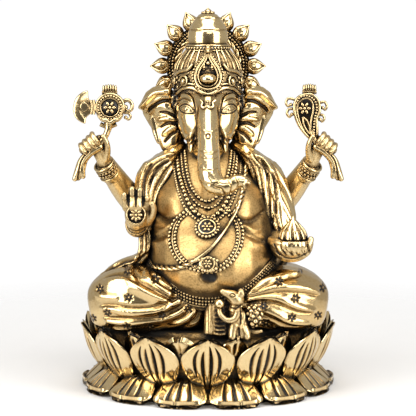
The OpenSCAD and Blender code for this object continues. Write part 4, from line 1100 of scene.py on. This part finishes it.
def crest(bm, x0, x1, z):
    """A comb of upright tabs."""
    for i in range(6):
        k = (i + 0.5) / 6
        ball(bm, (x0 + (x1 - x0) * k, HELD_Y, z + 0.5 * math.sin(math.pi * k)), 0.62, 3, (0.9, 2, 2.5))
    wire(bm, [(x0 - 0.2, HELD_Y, z - 1.4), ((x0 + x1) / 2, HELD_Y, z - 1.1), (x1 + 0.2, HELD_Y, z - 1.4)],
         0.75, 5)


def axe():
    """The axe: a flowered disc with a horned blade at its side."""
    x, z = -38.3, 111.5
    bm = bmesh.new()
    bmesh.ops.create_cone(bm, cap_ends=True, segments=48, radius1=5.3, radius2=5.3, depth=1.6,
                          matrix=basis((x, HELD_Y, z), (0, -1, 0)))
    darkening(bm)
    for way in (-1, 1):
        m = basis((x, HELD_Y + way * 0.8, z), (0, way, 0))
        ring(bm, m, 5.3, 0.62)
        ring(bm, m, 3.75, 0.42)
        bead_ring(bm, m, 4.55, 0.3, 26, 0.52)
        rosette(bm, m @ Matrix.Translation((0, 0, 0.2)), 3)
        y = HELD_Y + way * 1.1
        # A scalloped crescent under the disc, over a collar
        path = curve([(-43, y, 108.4), (-41.4, y, 106.8), (-39.8, y, 106.5), (-38.2, y, 105.6),
                      (-36.6, y, 106.6), (-35, y, 106.8),
                      (-33.4, y, 108.6)], 5)
        wire(bm, path, np.interp(np.linspace(-1, 1, len(path)), (-1, -0.4, 0.4, 1), (0.4, 1, 1, 0.4)), 5)
    crest(bm, -41.2, -35.6, 118.6)
    wire(bm, curve([(-42.2, HELD_Y, 105), (-39, HELD_Y, 103.9), (-35.8, HELD_Y, 105)], 5), 0.9, 5)
    chain(bm, [(-38.8, HELD_Y, 105.2, 1.9), (-39.2, HELD_Y - 0.4, 102.6, 1.3), (-40.4, HELD_Y - 0.8, 100,
            1.25), (-43, HELD_Y - 1, 96.6, 1.5)])
    bud_scroll(bm, [(-33.4, 113.6), (-31.4, 114.4), (-29.8, 113), (-29.9, 110.8), (-31.6, 110),
                    (-32.3, 111.6)], HELD_Y, 0.85)
    bud_scroll(bm, [(-32.8, 109.4), (-31, 109.2), (-30.3, 107.8), (-31.2, 106.8), (-32.2, 107.6)], HELD_Y,
               0.62)
    # The blade: a broad crescent, thinned to its edge
    plate(bm, [(-47.2, 118), (-49.6, 117.2), (-51.6, 115.2), (-52.5, 112.8), (-52.7, 110.4), (-52, 108),
               (-50.4, 106.3), (-48, 105.3),
               (-47.6, 107.4), (-46, 109), (-44.4, 110.2), (-44.4, 112.8), (-45.9, 113.8), (-46.8, 115.6)],
          HELD_Y, 1.7, 0.5, 0.22)
    for way in (-1, 1):
        y = HELD_Y + way * 1.05
        plate(bm, [(-48.4, 113.9), (-46.5, 111.8), (-48.4, 109.7), (-50, 111.8)], y, 0.9, 0.2)
        for dx in (0, 1):
            wire(bm, [(-45.6 + dx, y, 114.4), (-45.2 + dx, y, 111.6), (-45.6 + dx, y, 108.8)], 0.45)
    piece_of("axe_chased", bm, ["axe"])


def noose():
    """The noose: a loop drawn down to the hand, with beads on its outer side and a flower in it."""
    outline = [(39.4, 117), (35.6, 116), (33.6, 113.2), (33.6, 109.4), (35.2, 104.8), (37.8, 101.2),
               (40.4, 99), (42.6, 99.6),
               (42.9, 102.6), (42.7, 106.4), (43.9, 110.2), (43.3, 114), (41.6, 116.2)]
    bm = bmesh.new()
    plate(bm, outline, HELD_Y, 1.6)
    darkening(bm)
    loop = curve(outline, 5, True)
    middle = np.array([38.9, 109.4])
    for way in (-1, 1):
        y = HELD_Y + way * 0.8
        wire(bm, [(x, y, z) for x, z in middle + (loop - middle) * np.array([0.95, 0.97])], 0.55, 5, True)
        inner = curve([(37.8, 101.6), (36, 105.4), (34.9, 109.6), (35.2, 113), (37.4, 115), (39.6, 114.8),
                       (40.9, 112.8), (41, 110),
                       (40.2, 106), (40, 102.4)], 5)
        wire(bm, [(x, y, z) for x, z in inner], 0.4)
        row = curve([(34.4, 113.2), (36, 115.6), (39.2, 116), (41.8, 114), (42.5, 110.8), (41.7, 107),
                     (41.4, 103.6), (41.4, 100.6)], 6)
        beads(bm, np.array([(x, y + way * 0.15, z) for x, z in row]), 1, 0.1)
        rosette(bm, basis((37.7, y, 111.2), (0, way, 0)), 2.9)
        for path in ([(37, 107.8), (37.4, 104.8), (38.8, 102.2), (40, 101)], [(37, 107.8), (38.6, 106.4),
                (39.6, 104), (40, 101)]):
            wire(bm, curve([(x, y, z) for x, z in path], 5), 0.42)
    crest(bm, 37, 42.2, 118.8)
    for points in ([(33.8, 114.6), (31.4, 115), (30.5, 113.4), (31.2, 112), (32.4, 112.6)],
                   [(33.6, 111), (31.6, 110.8), (30.9, 109.2), (31.8, 107.8), (32.8, 108.8)],
                   [(43.8, 113.4), (45.6, 113.6), (46.4, 112), (45.8, 110.6), (44.8, 111.4)],
                   [(43.4, 108.6), (45, 108.4), (45.4, 107), (44.6, 106), (43.8, 106.8)]):
        bud_scroll(bm, points, HELD_Y)
    chain(bm, [(40.8, HELD_Y, 101.6, 1.3), (41.6, HELD_Y - 0.8, 99, 1.3), (43.4, HELD_Y - 1, 96.4, 1.5)])
    piece_of("noose_chased", bm, ["noose"])


# ---------- head ----------
class FIGURE_OT_head(bpy.types.Operator):
    """Models the head with its trunk, tusks, eyes and ears"""

    bl_idname = "figure.head"
    bl_label = "Head"

    def execute(self, context):
        c = Clay(copy_of("head", "trunk", "right_tusk", "left_tusk"), 0.28, 12)
        # The cheeks draw in towards the mouth.
        x, z = np.abs(c.p[:, 0]), c.p[:, 2]
        inward = 0.05 + 0.24 * np.clip((108 - z) / 10, 0, 1) * np.clip((z - 90) / 4, 0, 1)
        c.p[:, 0] = np.where(x > 5, np.sign(c.p[:, 0]) * (5 + (x - 5) * (1 - inward)), c.p[:, 0])
        # The trunk grows out of the face with no seam.
        x, y, z = c.p.T
        root = np.clip((z - 98) / 5, 0, 1) * np.clip((120 - z) / 4, 0, 1) * np.clip((10 - abs(x)) / 4, 0,
                1) * (y < -12)
        c.soften(90, root)
        for s in (-1, 1):
            c.swell((s * 8.4, 108), (4.6, 11), 0.8)
            c.swell((s * 7.6, 111.4), (3.6, 3), 0.5)
        c.turn()
        for s in (-1, 1):
            # A long leaf-shaped plane from the brow past the eye to the tusk
            leaf = sided(s, [(8.8, 117.2), (6, 115.4), (5, 111), (4.4, 106.6), (4.9, 103), (7, 100),
                             (9, 98.8),
                    (10.7, 102), (11.6, 107), (12, 113), (10.8, 116.4)])
            c.panel(leaf, 0.65, 0.5, dark=0.7)
            c.stroke(sided(s, [(12.2, 113.8), (9.4, 115.4), (6.4, 114.2)]), 0.55, -0.35, dark=0.5)
            # A sunk line about the eye
            x = s * 8.1
            c.stroke([(x + s * 3.1, 111.6), (x + s * 1.5, 113.1), (x - s * 0.9, 112.8),
                      (x - s * 3.2, 110.1), (x - s * 0.6, 109.6), (x + s * 1.8, 110.1)],
                     0.4, -0.3, dark=1, closed=True)
            # Edge of the trunk's flat front, and folds at the mouth
            c.stroke(sided(s, [(3, 113), (3.8, 106), (4, 100)]), 0.7, 0.2, taper=0.2)
            c.stroke(sided(s, [(5, 101.4), (5.8, 99.2), (7.4, 98.2)]), 0.6, -0.6, dark=0.9)
            c.stroke(sided(s, [(7.6, 99.6), (9, 98), (8.6, 95.6)]), 0.6, -0.5, dark=0.8)
        # Wrinkles across the trunk
        for z, w, h in ((103.6, 0.6, -0.1), (96, 0.8, -0.16), (93.8, 0.6, -0.1), (90, 0.6, -0.08),
                        (84.8, 0.8, -0.2)):
            c.stroke([(-3.8, z + 0.6), (-1, z - 0.3), (1.6, z - 0.5), (4, z + 0.2)], w, h, dark=0.12)
        c.stroke([(0.9 * math.cos(a), 101.6 + 0.9 * math.sin(a)) for a in np.linspace(0, 5, 6)], 0.32, -0.4,
                 dark=0.9, closed=True)
        c.stroke([(2.2, 83.4), (4.8, 83), (6, 81), (6.4, 78.6)], 0.6, -0.5, dark=0.6)
        c.stroke([(7.2, 86), (8.6, 83.8), (8.4, 81)], 0.5, -0.35, dark=0.4)
        c.stroke([(10, 87), (11.2, 85), (11, 83)], 0.5, -0.3, dark=0.4)
        c.soften(1)
        # The nostril at the trunk's tip
        c.stroke([(14.6 + 1.2 * math.cos(a), 83.8 + 1.2 * math.sin(a)) for a in np.linspace(0, 5.2, 6)],
                 0.5, 0.5, closed=True)
        c.swell((14.6, 83.8), 0.9, -1.1, dark=1)
        face = c.tree()
        c.done("head_and_trunk", ["head", "trunk", "right_tusk", "left_tusk"])

        # Lids, and the rim of the iris about a pupil
        bm = bmesh.new()
        for s, x in ((-1, -8.2), (1, 7.9)):
            lid = [(x + s * 2.5, 111.5), (x + s * 1.2, 112.5), (x - s * 0.8, 112.3), (x - s * 2.5, 110.3),
                   (x - s * 0.5, 110.1), (x + s * 1.5, 110.6)]
            wire(bm, laid(face, lid, 0, closed=True), 0.24, 5, True)
            brow = [(x + s * 3.2, 112.6), (x + s * 1, 114.4), (x - s * 1.6, 113.9)]
            wire(bm, laid(face, brow, 0), 0.28, 5)
            hit, normal, _, _ = face.ray_cast(Vector((x, -150, 111.3)), Vector((0, 1, 0)))
            ball(bm, hit - normal * 0.1, 0.85, 3, (1, 0.6, 1))
        piece_of("eyes_chased", bm, ["eyes"])

        # The upright mark on the brow: a drop held in a curled crescent
        bm = bmesh.new()
        hit, normal, _, _ = face.ray_cast(Vector((-0.2, -150, 113.4)), Vector((0, 1, 0)))
        m = basis(hit, normal) @ Matrix.Scale(0.85, 4)
        wire(bm, through(m, curve([(-3.4, 2.2, -0.3), (-2.3, 0.6, 0), (-2.7, -1, 0), (-1.4, -2.1, 0.1),
                                   (0, -1.2, 0.2), (1.4, -2.1, 0.1), (2.7, -1, 0),
                                   (2.3, 0.6, 0), (3.4, 2.2, -0.3)], 6)), 0.5)
        ball(bm, m @ Vector((0, 1.2, 0.1)), 0.85, 3, (0.75, 1.6, 0.8))
        ball(bm, m @ Vector((0, -0.2, 0.2)), 0.55)
        piece_of("brow_mark", bm, ["forehead_mark"])

        for side in ("right", "left"):
            s = -1 if side == "right" else 1
            ear = copy_of(f"{side}_ear")
            # Its root runs down the side of the head to the shoulder.
            chain(ear, sided(s, [(11, -4, 117, 2.6), (11.6, -4, 110, 2.8), (11.6, -3.6, 103, 2.8),
                                 (12.8, -3, 95.4, 3)]))
            c = Clay(ear, 0.3, 12)
            c.stroke(sided(s, [(12.4, 116.4), (15.6, 117.4), (20.4, 117), (24.4, 113.6), (27, 110.2)]), 1.7,
                     1.7, taper=0.3)
            c.stroke(sided(s, [(12.6, 113.6), (17.6, 114), (21.8, 111.8), (24.2, 109.2)]), 1.2, -1.1,
                     dark=0.85, taper=0.5)
            c.stroke(sided(s, [(22.4, 107.6), (21.2, 102), (19.6, 96.6)]), 1.2, 0.8, taper=0.5)
            for path in (sided(s, [(19.4, 109.4), (16, 109.2), (11.8, 107.4)]),
                         sided(s, [(19.2, 103.4), (15.6, 105.2), (11.6, 105)]),
                         sided(s, [(17.4, 97.4), (14.6, 100.6), (11.6, 102)])):
                c.stroke(path, 0.9, -0.9, dark=0.75, taper=0.95)
            c.stroke(sided(s, [(19.6, 106.4), (15.6, 107), (12, 106.2)]), 1.5, 1, taper=0.8)
            c.stroke(sided(s, [(18, 100.2), (15, 102.8), (12, 103.6)]), 1.4, 0.8, taper=0.8)
            c.soften(1)
            c.done(f"{side}_ear_folds", [f"{side}_ear"])
        return {"FINISHED"}


# ---------- crown and halo ----------
def on_crown(r, across, z):
    """A point on the crown: across is a distance along its girth, from the front."""
    a = across / r
    return (r * math.sin(a), CROWN_Y - r * math.cos(a), z)


class FIGURE_OT_crown(bpy.types.Operator):
    """Models the crown's diadem, jewel, ribbed dome, drum and finial"""

    bl_idname = "figure.crown"
    bl_label = "Crown"

    def execute(self, context):
        at = (0, CROWN_Y)
        # Diadem: a band whose lower edge arches over both brows
        bm = bmesh.new()
        lathe(bm, [(11.4, 116.4), (12.8, 116.2), (13.1, 117), (12.8, 118.2), (12.7, 121), (12.8, 124.2),
                   (13.1, 125.4), (12.7, 126.4), (11.6, 126.6)], 120, at)
        piece_of("diadem", bm, ["crown_band"], DARK)
        bm = bmesh.new()
        r = CROWN_R
        for s in (-1, 1):
            low = curve([(0, 116.2), (s * 2.6, 117.4), (s * 6.5, 119.3), (s * 11, 118.8), (s * 15.4, 116.8),
                         (s * 22, 116.2), (s * 32, 116.2), (s * 43.4, 116.2)], 8)
            for off, t in ((0, 0.75), (1.5, 0.4)):
                wire(bm, [on_crown(r, x, z + off) for x, z in low], t)
            top = curve(sided(s, [(6, 128.6), (8.4, 126.4), (12.6, 125.6), (17, 124.2), (22, 125.6),
                                  (32, 126), (43.4, 126)]), 8)
            wire(bm, [on_crown(r - 0.2, x, z) for x, z in top], 0.8)
            wire(bm, [on_crown(r - 0.1, x, z - 1.5) for x, z in top[6:]], 0.4)
            for x in (10.4, 19.4, 28, 36.4):
                m = basis(on_crown(r, s * x, 121.7), (math.sin(s * x / r), -math.cos(s * x / r), 0))
                scroll(bm, m, 2.5, 0.72, 1.3, s)
                for dx, dz in ((s * 3.6, 1.4), (s * 3.9, -0.4), (s * 3.4, -2.2)):
                    ball(bm, m @ Vector((dx, dz, 0)), 0.6)
        piece_of("diadem_filigree", bm, ["crown_beads"])

        # The great jewel in a pointed, beaded frame
        bm = bmesh.new()
        m = basis((0, CROWN_Y - 13.8, 123.4), (0, -1, 0.42))
        ogee = [(0, -5.2), (3.4, -4), (4.9, -0.4), (4.4, 3), (2.6, 6), (1, 8.8), (0, 12.4)]
        outline = ogee + [(-x, y) for x, y in ogee[-2:0:-1]]
        path = curve(outline, 6, True)
        wire(bm, through(m, np.column_stack([path, np.full(len(path), 0.4)])), 0.62, 4, True)
        inner = path * np.array([0.76, 0.8]) + np.array([0, 0.2])
        wire(bm, through(m, np.column_stack([inner, np.full(len(path), 0.7)])), 0.4, 4, True)
        outer = spaced(path * np.array([1.2, 1.1]), 1.25)
        for x, y in outer:
            ball(bm, m @ Vector((x, y, 0.1)), 0.58)
        ball(bm, m @ Vector((0, -0.6, 0)), 3.4, 4, (1, 1.1, 0.7))
        for x in (-1.5, 1.5):
            ball(bm, m @ Vector((x, 3.9, 0.6)), 0.8, 3, (0.9, 1.3, 0.8))
        ball(bm, m @ Vector((0, 5.6, 0.6)), 0.8)
        ball(bm, m @ Vector((0, 10.6, 0.8)), 1.2, 3, (0.8, 1.5, 0.9))
        wire(bm, through(m, curve([(-3.6, -5.6, 0.3), (0, -7.2, 0.6), (3.6, -5.6, 0.3)], 5)), 0.6)
        piece_of("great_jewel", bm, ["crown_jewel"])

        # Ribbed dome, then rings and beads under a plain drum
        bm = bmesh.new()
        rise = curve([(12.5, 125.6), (12.3, 127), (11.3, 129.4), (9.7, 131.8), (8.4, 133.4), (8, 134)], 5)
        lathe(bm, [tuple(p) for p in rise], 240, at)
        for v in bm.verts:
            dx, dy = v.co.x, v.co.y - CROWN_Y
            a = math.atan2(dy, dx)
            up = min(max((v.co.z - 125.6) / 8.4, 0), 1)
            k = 1 + (0.055 * abs(math.cos(a * 13)) - 0.02) * math.sin(math.pi * (0.15 + 0.8 * up))
            v.co.x, v.co.y = dx * k, CROWN_Y + dy * k
        piece_of("ribbed_dome", bm, ["crown_dome"], DARK)
        bm = bmesh.new()
        for i in range(24):
            a = math.radians(i * 15 + 7.5)
            wire(bm, [(p[0] * 1.03 * math.sin(a), CROWN_Y - p[0] * 1.03 * math.cos(a),
                       p[1]) for p in rise[2:-2]], 0.6)
        for z, rr, t in ((133.6, 8.3, 0.5), (135.6, 8.2, 0.45)):
            ring(bm, Matrix.Translation((0, CROWN_Y, z)), rr, t)
        for i in range(38):
            a = 2 * math.pi * i / 38
            ball(bm, (BEAD_RING_R * math.sin(a), CROWN_Y - BEAD_RING_R * math.cos(a), BEAD_RING_Z), 0.66)
        profile = curve([(7.4, 135.4), (7.8, 136.2), (7.95, 138.4), (7.8, 140.8), (7.3, 141.6), (7.5, 142),
                         (7.1, 142.6)], 3)
        lathe(bm, [tuple(p) for p in profile] + [(6.9, 142.9), (6.5, 144), (5.7, 145.2), (4.7, 146.2),
                (4.8, 146.5), (4.3, 146.8), (3.6, 147.6),
                                                 (2.6, 148), (0.01, 148.3)], 96, at)
        piece_of("drum", bm, ["crown_drum"])
        bm = bmesh.new()
        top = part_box("crown_finial")[1][2] / MM
        for i in range(8):
            a = 2 * math.pi * i / 8
            ball(bm, (2 * math.sin(a), CROWN_Y - 2 * math.cos(a), 148.2), 0.75)
        ball(bm, (0, CROWN_Y, top - 1.6), 1.6)
        piece_of("finial", bm, ["crown_finial"])
        return {"FINISHED"}


class FIGURE_OT_halo(bpy.types.Operator):
    """Models the ring of beads, rope and buds behind the crown"""

    bl_idname = "figure.halo"
    bl_label = "Halo"

    def execute(self, context):
        lo, hi = (Vector(v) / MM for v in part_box("halo_ring"))
        centre = (lo + hi) / 2
        m = basis((centre.x, lo.y, centre.z), (0, -1, 0))
        bm = bmesh.new()
        # Flat ring with rolled edges
        for r, t in ((12.6, 0.9), (13.5, 1), (14.4, 1), (15.3, 1), (16.1, 0.9)):
            ring(bm, m @ Matrix.Translation((0, 0, -1)), r, t, 5)
        piece_of("halo_back", bm, ["halo_ring"], DARK)
        bm = bmesh.new()
        a = np.radians(np.arange(0, 361, 3))
        rope(bm, through(m, np.stack([12.8 * np.cos(a), 12.8 * np.sin(a), 0 * a], 1)), 1.05, 3)
        for r, d in ((14.4, 1.25), (15.7, 1.1)):
            bead_ring(bm, m, r, 0.1, int(2 * math.pi * r / (d + 0.06)), d / 2)
        piece_of("halo_strings", bm, ["halo_beads"])
        # Buds: a round cup with side leaves that meet in a point
        bm = bmesh.new()
        for i in range(16):
            q = math.radians(90 + i * 22.5)
            out = Vector((math.cos(q), math.sin(q), 0))
            turn = Matrix.Rotation(q - math.pi / 2, 4, "Z")
            b = m @ Matrix.Translation(out * 16.1) @ turn @ Matrix.Diagonal((1.2, 1.14, 1.1, 1))
            shape = curve([(0.9, -0.4), (2.4, 0.4), (2.9, 1.8), (2.6, 3.3), (1.8, 4.5), (0.8, 5.6),
                           (0.02, 6.6)], 4)
            part = bmesh.new()
            lathe(part, [tuple(p) for p in shape], 36)
            for v in part.verts:
                w = math.atan2(v.co.y, v.co.x)
                k = 1 - 0.1 * abs(math.sin(w * 2.5)) ** 4
                v.co.x, v.co.y = v.co.x * k, v.co.y * k * 0.85
            pour(bm, part, b @ Matrix.Rotation(-math.pi / 2, 4, "X"))
            for s in (-1, 1):
                wire(bm, through(b, curve(sided(s, [(0.4, 0.4, 2), (1.5, 1.6, 2.1), (1.5, 3.4, 1.9),
                        (0.2, 6, 0.6)]), 4)), 0.3)
        piece_of("halo_buds", bm, ["halo_petals"])
        c = Clay(copy_of("halo_bracket"), 0.4, 3)
        c.done("halo_stay", ["halo_bracket"], DARK)
        return {"FINISHED"}


class FIGURE_OT_mouse(bpy.types.Operator):
    """Models the mouse that sits before the left knee"""

    bl_idname = "figure.mouse"
    bl_label = "Mouse"

    def execute(self, context):
        bm = bmesh.new()
        y = -41.6
        chain(bm, [(12.6, y, 28, 3.2), (12.4, y, 31.4, 3.1), (11, y - 0.4, 34.6, 2.9),
                   (10.2, y - 0.6, 37.4, 2.3)])
        # Head, tilted up, with its pointed muzzle
        chain(bm, [(10.6, y - 0.6, 40.6, 2.9), (9, y - 1, 41.9, 2.5), (7, y - 1.4, 43, 1.7),
                   (5.4, y - 1.6, 43.9, 1)])
        for dy in (-2, 1.8):
            ball(bm, (12.4, y - 0.4 + dy, 43), 1.3, 3, (1, 0.55, 1.25))
        # The arm bent round a round sweet held up to its mouth
        chain(bm, [(11.4, y - 2.6, 36.8, 1.4), (10, y - 3, 33.8, 1.3), (7.2, y - 3.2, 33.2, 1.1),
                   (4.8, y - 3, 35.2, 0.95), (4.2, y - 2.4, 37.4, 0.9)])
        # Robe, feet and tail
        chain(bm, [(10, y - 1.6, 31, 1.9), (9.4, y - 2, 28.6, 1.7), (9.2, y - 2.4, 26.8, 1.5)])
        chain(bm, [(13.6, y - 1.8, 30, 1.8), (14.4, y - 2.2, 28, 1.6), (14.8, y - 2.6, 26.7, 1.3)])
        chain(bm, [(15.4, y, 28.6, 1.2), (18, y - 0.6, 28.2, 1), (20, y - 1, 28.6, 0.7)])
        c = Clay(bm, 0.26, 3)
        c.stroke([(13.1, 40), (13.6, 35), (13.2, 31), (14.4, 27.8)], 0.6, 0.55, taper=0.2)
        c.stroke([(12.2, 38.4), (12.4, 34.4), (12, 31)], 0.5, -0.5, dark=0.9)
        c.stroke([(7.4, 37.4), (9.4, 36.6), (12, 37.4)], 0.5, 0.4)
        c.stroke([(7.6, 38.4), (9.6, 37.6), (12, 38.6)], 0.4, -0.4, dark=0.9)
        c.stroke([(8.2, 42.8), (9.2, 43.4), (10.2, 42.6), (9.2, 42)], 0.3, -0.3, dark=1, closed=True)
        c.stroke([(5.6, 42.2), (7.2, 41.4), (8.6, 40)], 0.35, -0.3, dark=0.8)
        c.stroke([(11.6, 30.4), (11.7, 28), (11.6, 26.4)], 0.6, -0.6, dark=1)
        c.done("mouse_cast", ["mouse"], SATIN)
        bm = bmesh.new()
        ball(bm, (4.3, y - 2.6, 39.4), 1.9, 3)
        # A knobbly basket on its back
        basket = Vector((17.3, y + 0.2, 34.2))
        ball(bm, basket, 2.7, 3, (1, 0.9, 1.45))
        for i in range(34):
            up = 1 - (2 * i + 1) / 34
            a = i * 2.4
            out = Vector((2.8 * math.cos(a), 2.5 * math.sin(a), 0)) * (1 - up * up) ** 0.5
            ball(bm, basket + out + Vector((0, 0, 4 * up)), 0.92 + 0.16 * math.sin(i * 5))
        piece_of("mouse_treats", bm, ["mouse_sweet"])
        return {"FINISHED"}


# ---------- stage ----------
class FIGURE_OT_stage(bpy.types.Operator):
    """Sets the floor, the soft lights and the camera"""

    bl_idname = "figure.stage"
    bl_label = "Stage"

    def execute(self, context):
        scene = context.scene
        props = scene.stage_light
        bm = bmesh.new()
        bmesh.ops.create_grid(bm, x_segments=1, y_segments=1, size=1)
        mesh = bpy.data.meshes.new("floor")
        bm.to_mesh(mesh)
        bm.free()
        floor = bpy.data.objects.new("floor", mesh)
        scene.collection.objects.link(floor)
        # White paper that runs out into the white room
        mat = bpy.data.materials.new("Matt paper sweep")
        mat.use_nodes = True
        tree = mat.node_tree
        tree.nodes.clear()
        away = add(tree, "VectorMath", [(0, add(tree, "TexCoord").outputs["Object"])], operation="LENGTH")
        fade = add(tree, "MapRange", [("Value", away.outputs["Value"])], From_Min=0.09, From_Max=0.3)
        paper = add(tree, "BsdfDiffuse", Color=(*hex_rgb(props.floor), 1))
        clear = add(tree, "BsdfTransparent")
        mix = add(tree, "MixShader", [(0, fade.outputs[0]), (1, paper.outputs[0]), (2, clear.outputs[0])])
        add(tree, "OutputMaterial", [("Surface", mix.outputs[0])])
        mesh.materials.append(mat)

        world = bpy.data.worlds.new("white room")
        scene.world = world
        world.use_nodes = True
        tree = world.node_tree
        tree.nodes.clear()
        seen = add(tree, "Background", Color=(1, 1, 1, 1), Strength=1.02)
        # The room behind the camera is dim, so that polished metal has something dark to mirror.
        way = add(tree, "SeparateXYZ", [(0, add(tree, "TexCoord").outputs["Generated"])])
        glow = add(tree, "MapRange", [("Value", way.outputs["Y"])], From_Min=-0.98, From_Max=-0.55,
                   To_Min=0.16, To_Max=0.58)
        lit = add(tree, "Background", [("Strength", glow.outputs[0])], Color=(*hex_rgb("#EDEAE4"), 1))
        mix = add(tree, "MixShader", [(0, add(tree, "LightPath").outputs["Is Camera Ray"]),
                                      (1, lit.outputs[0]),
                                      (2, seen.outputs[0])])
        add(tree, "OutputWorld", [("Surface", mix.outputs[0])])

        # Place, size and power of each soft box
        for name, at, size, power in (
            ("left box", (-0.46, -0.36, 0.26), (0.42, 0.6), 3.7),
            ("right box", (0.45, -0.36, 0.26), (0.36, 0.6), 3.4),
            ("top box", (0.0, -0.16, 0.6), (0.5, 0.34), 2.6),
            ("front box", (0.1, -0.72, 0.42), (0.4, 0.16), 0.7),
        ):
            lamp = bpy.data.lights.new(name, "AREA")
            lamp.shape, lamp.size, lamp.size_y = "RECTANGLE", *size
            lamp.energy = power * props.power
            ob = bpy.data.objects.new(name, lamp)
            ob.location = at
            ob.rotation_euler = (LIT - Vector(at)).to_track_quat("-Z", "Y").to_euler()
            scene.collection.objects.link(ob)

        lens = bpy.data.cameras.new("camera")
        lens.lens, lens.sensor_width = LENS, SENSOR
        lens.clip_start, lens.clip_end = 0.01, 20
        camera = bpy.data.objects.new("camera", lens)
        camera.location = EYE
        camera.rotation_euler = (AIM - camera.location).to_track_quat("-Z", "Y").to_euler()
        scene.collection.objects.link(camera)
        scene.camera = camera
        scene.view_settings.view_transform = "Standard"
        return {"FINISHED"}


OPERATORS = (FIGURE_OT_stage, FIGURE_OT_lotus, FIGURE_OT_legs, FIGURE_OT_body, FIGURE_OT_shawl,
             FIGURE_OT_arms,
             FIGURE_OT_offerings, FIGURE_OT_head, FIGURE_OT_crown, FIGURE_OT_halo, FIGURE_OT_mouse)


class FIGURE_PT_panel(bpy.types.Panel):
    """Shows the figure's settings and a button for each modelling step"""

    bl_idname = "FIGURE_PT_panel"
    bl_label = "Brass Lotus Figure"
    bl_space_type = "VIEW_3D"
    bl_region_type = "UI"
    bl_category = "Figure"

    def draw(self, context):
        scene = context.scene
        for group in (scene.brass_finish, scene.lotus_sizes, scene.stage_light):
            for key in group.__annotations__:
                self.layout.prop(group, key)
        for operator in OPERATORS:
            self.layout.operator(operator.bl_idname)


CLASSES = (BrassFinish, LotusSizes, StageLight, *OPERATORS, FIGURE_PT_panel)


def register():
    for cls in CLASSES:
        bpy.utils.register_class(cls)
    bpy.types.Scene.brass_finish = bpy.props.PointerProperty(type=BrassFinish)
    bpy.types.Scene.lotus_sizes = bpy.props.PointerProperty(type=LotusSizes)
    bpy.types.Scene.stage_light = bpy.props.PointerProperty(type=StageLight)


def unregister():
    for name in ("brass_finish", "lotus_sizes", "stage_light"):
        delattr(bpy.types.Scene, name)
    for cls in reversed(CLASSES):
        bpy.utils.unregister_class(cls)


def main():
    """Makes every piece."""
    register()
    for operator in OPERATORS:
        group, name = operator.bl_idname.split(".")
        getattr(getattr(bpy.ops, group), name)()


if __name__ == "__main__":
    main()
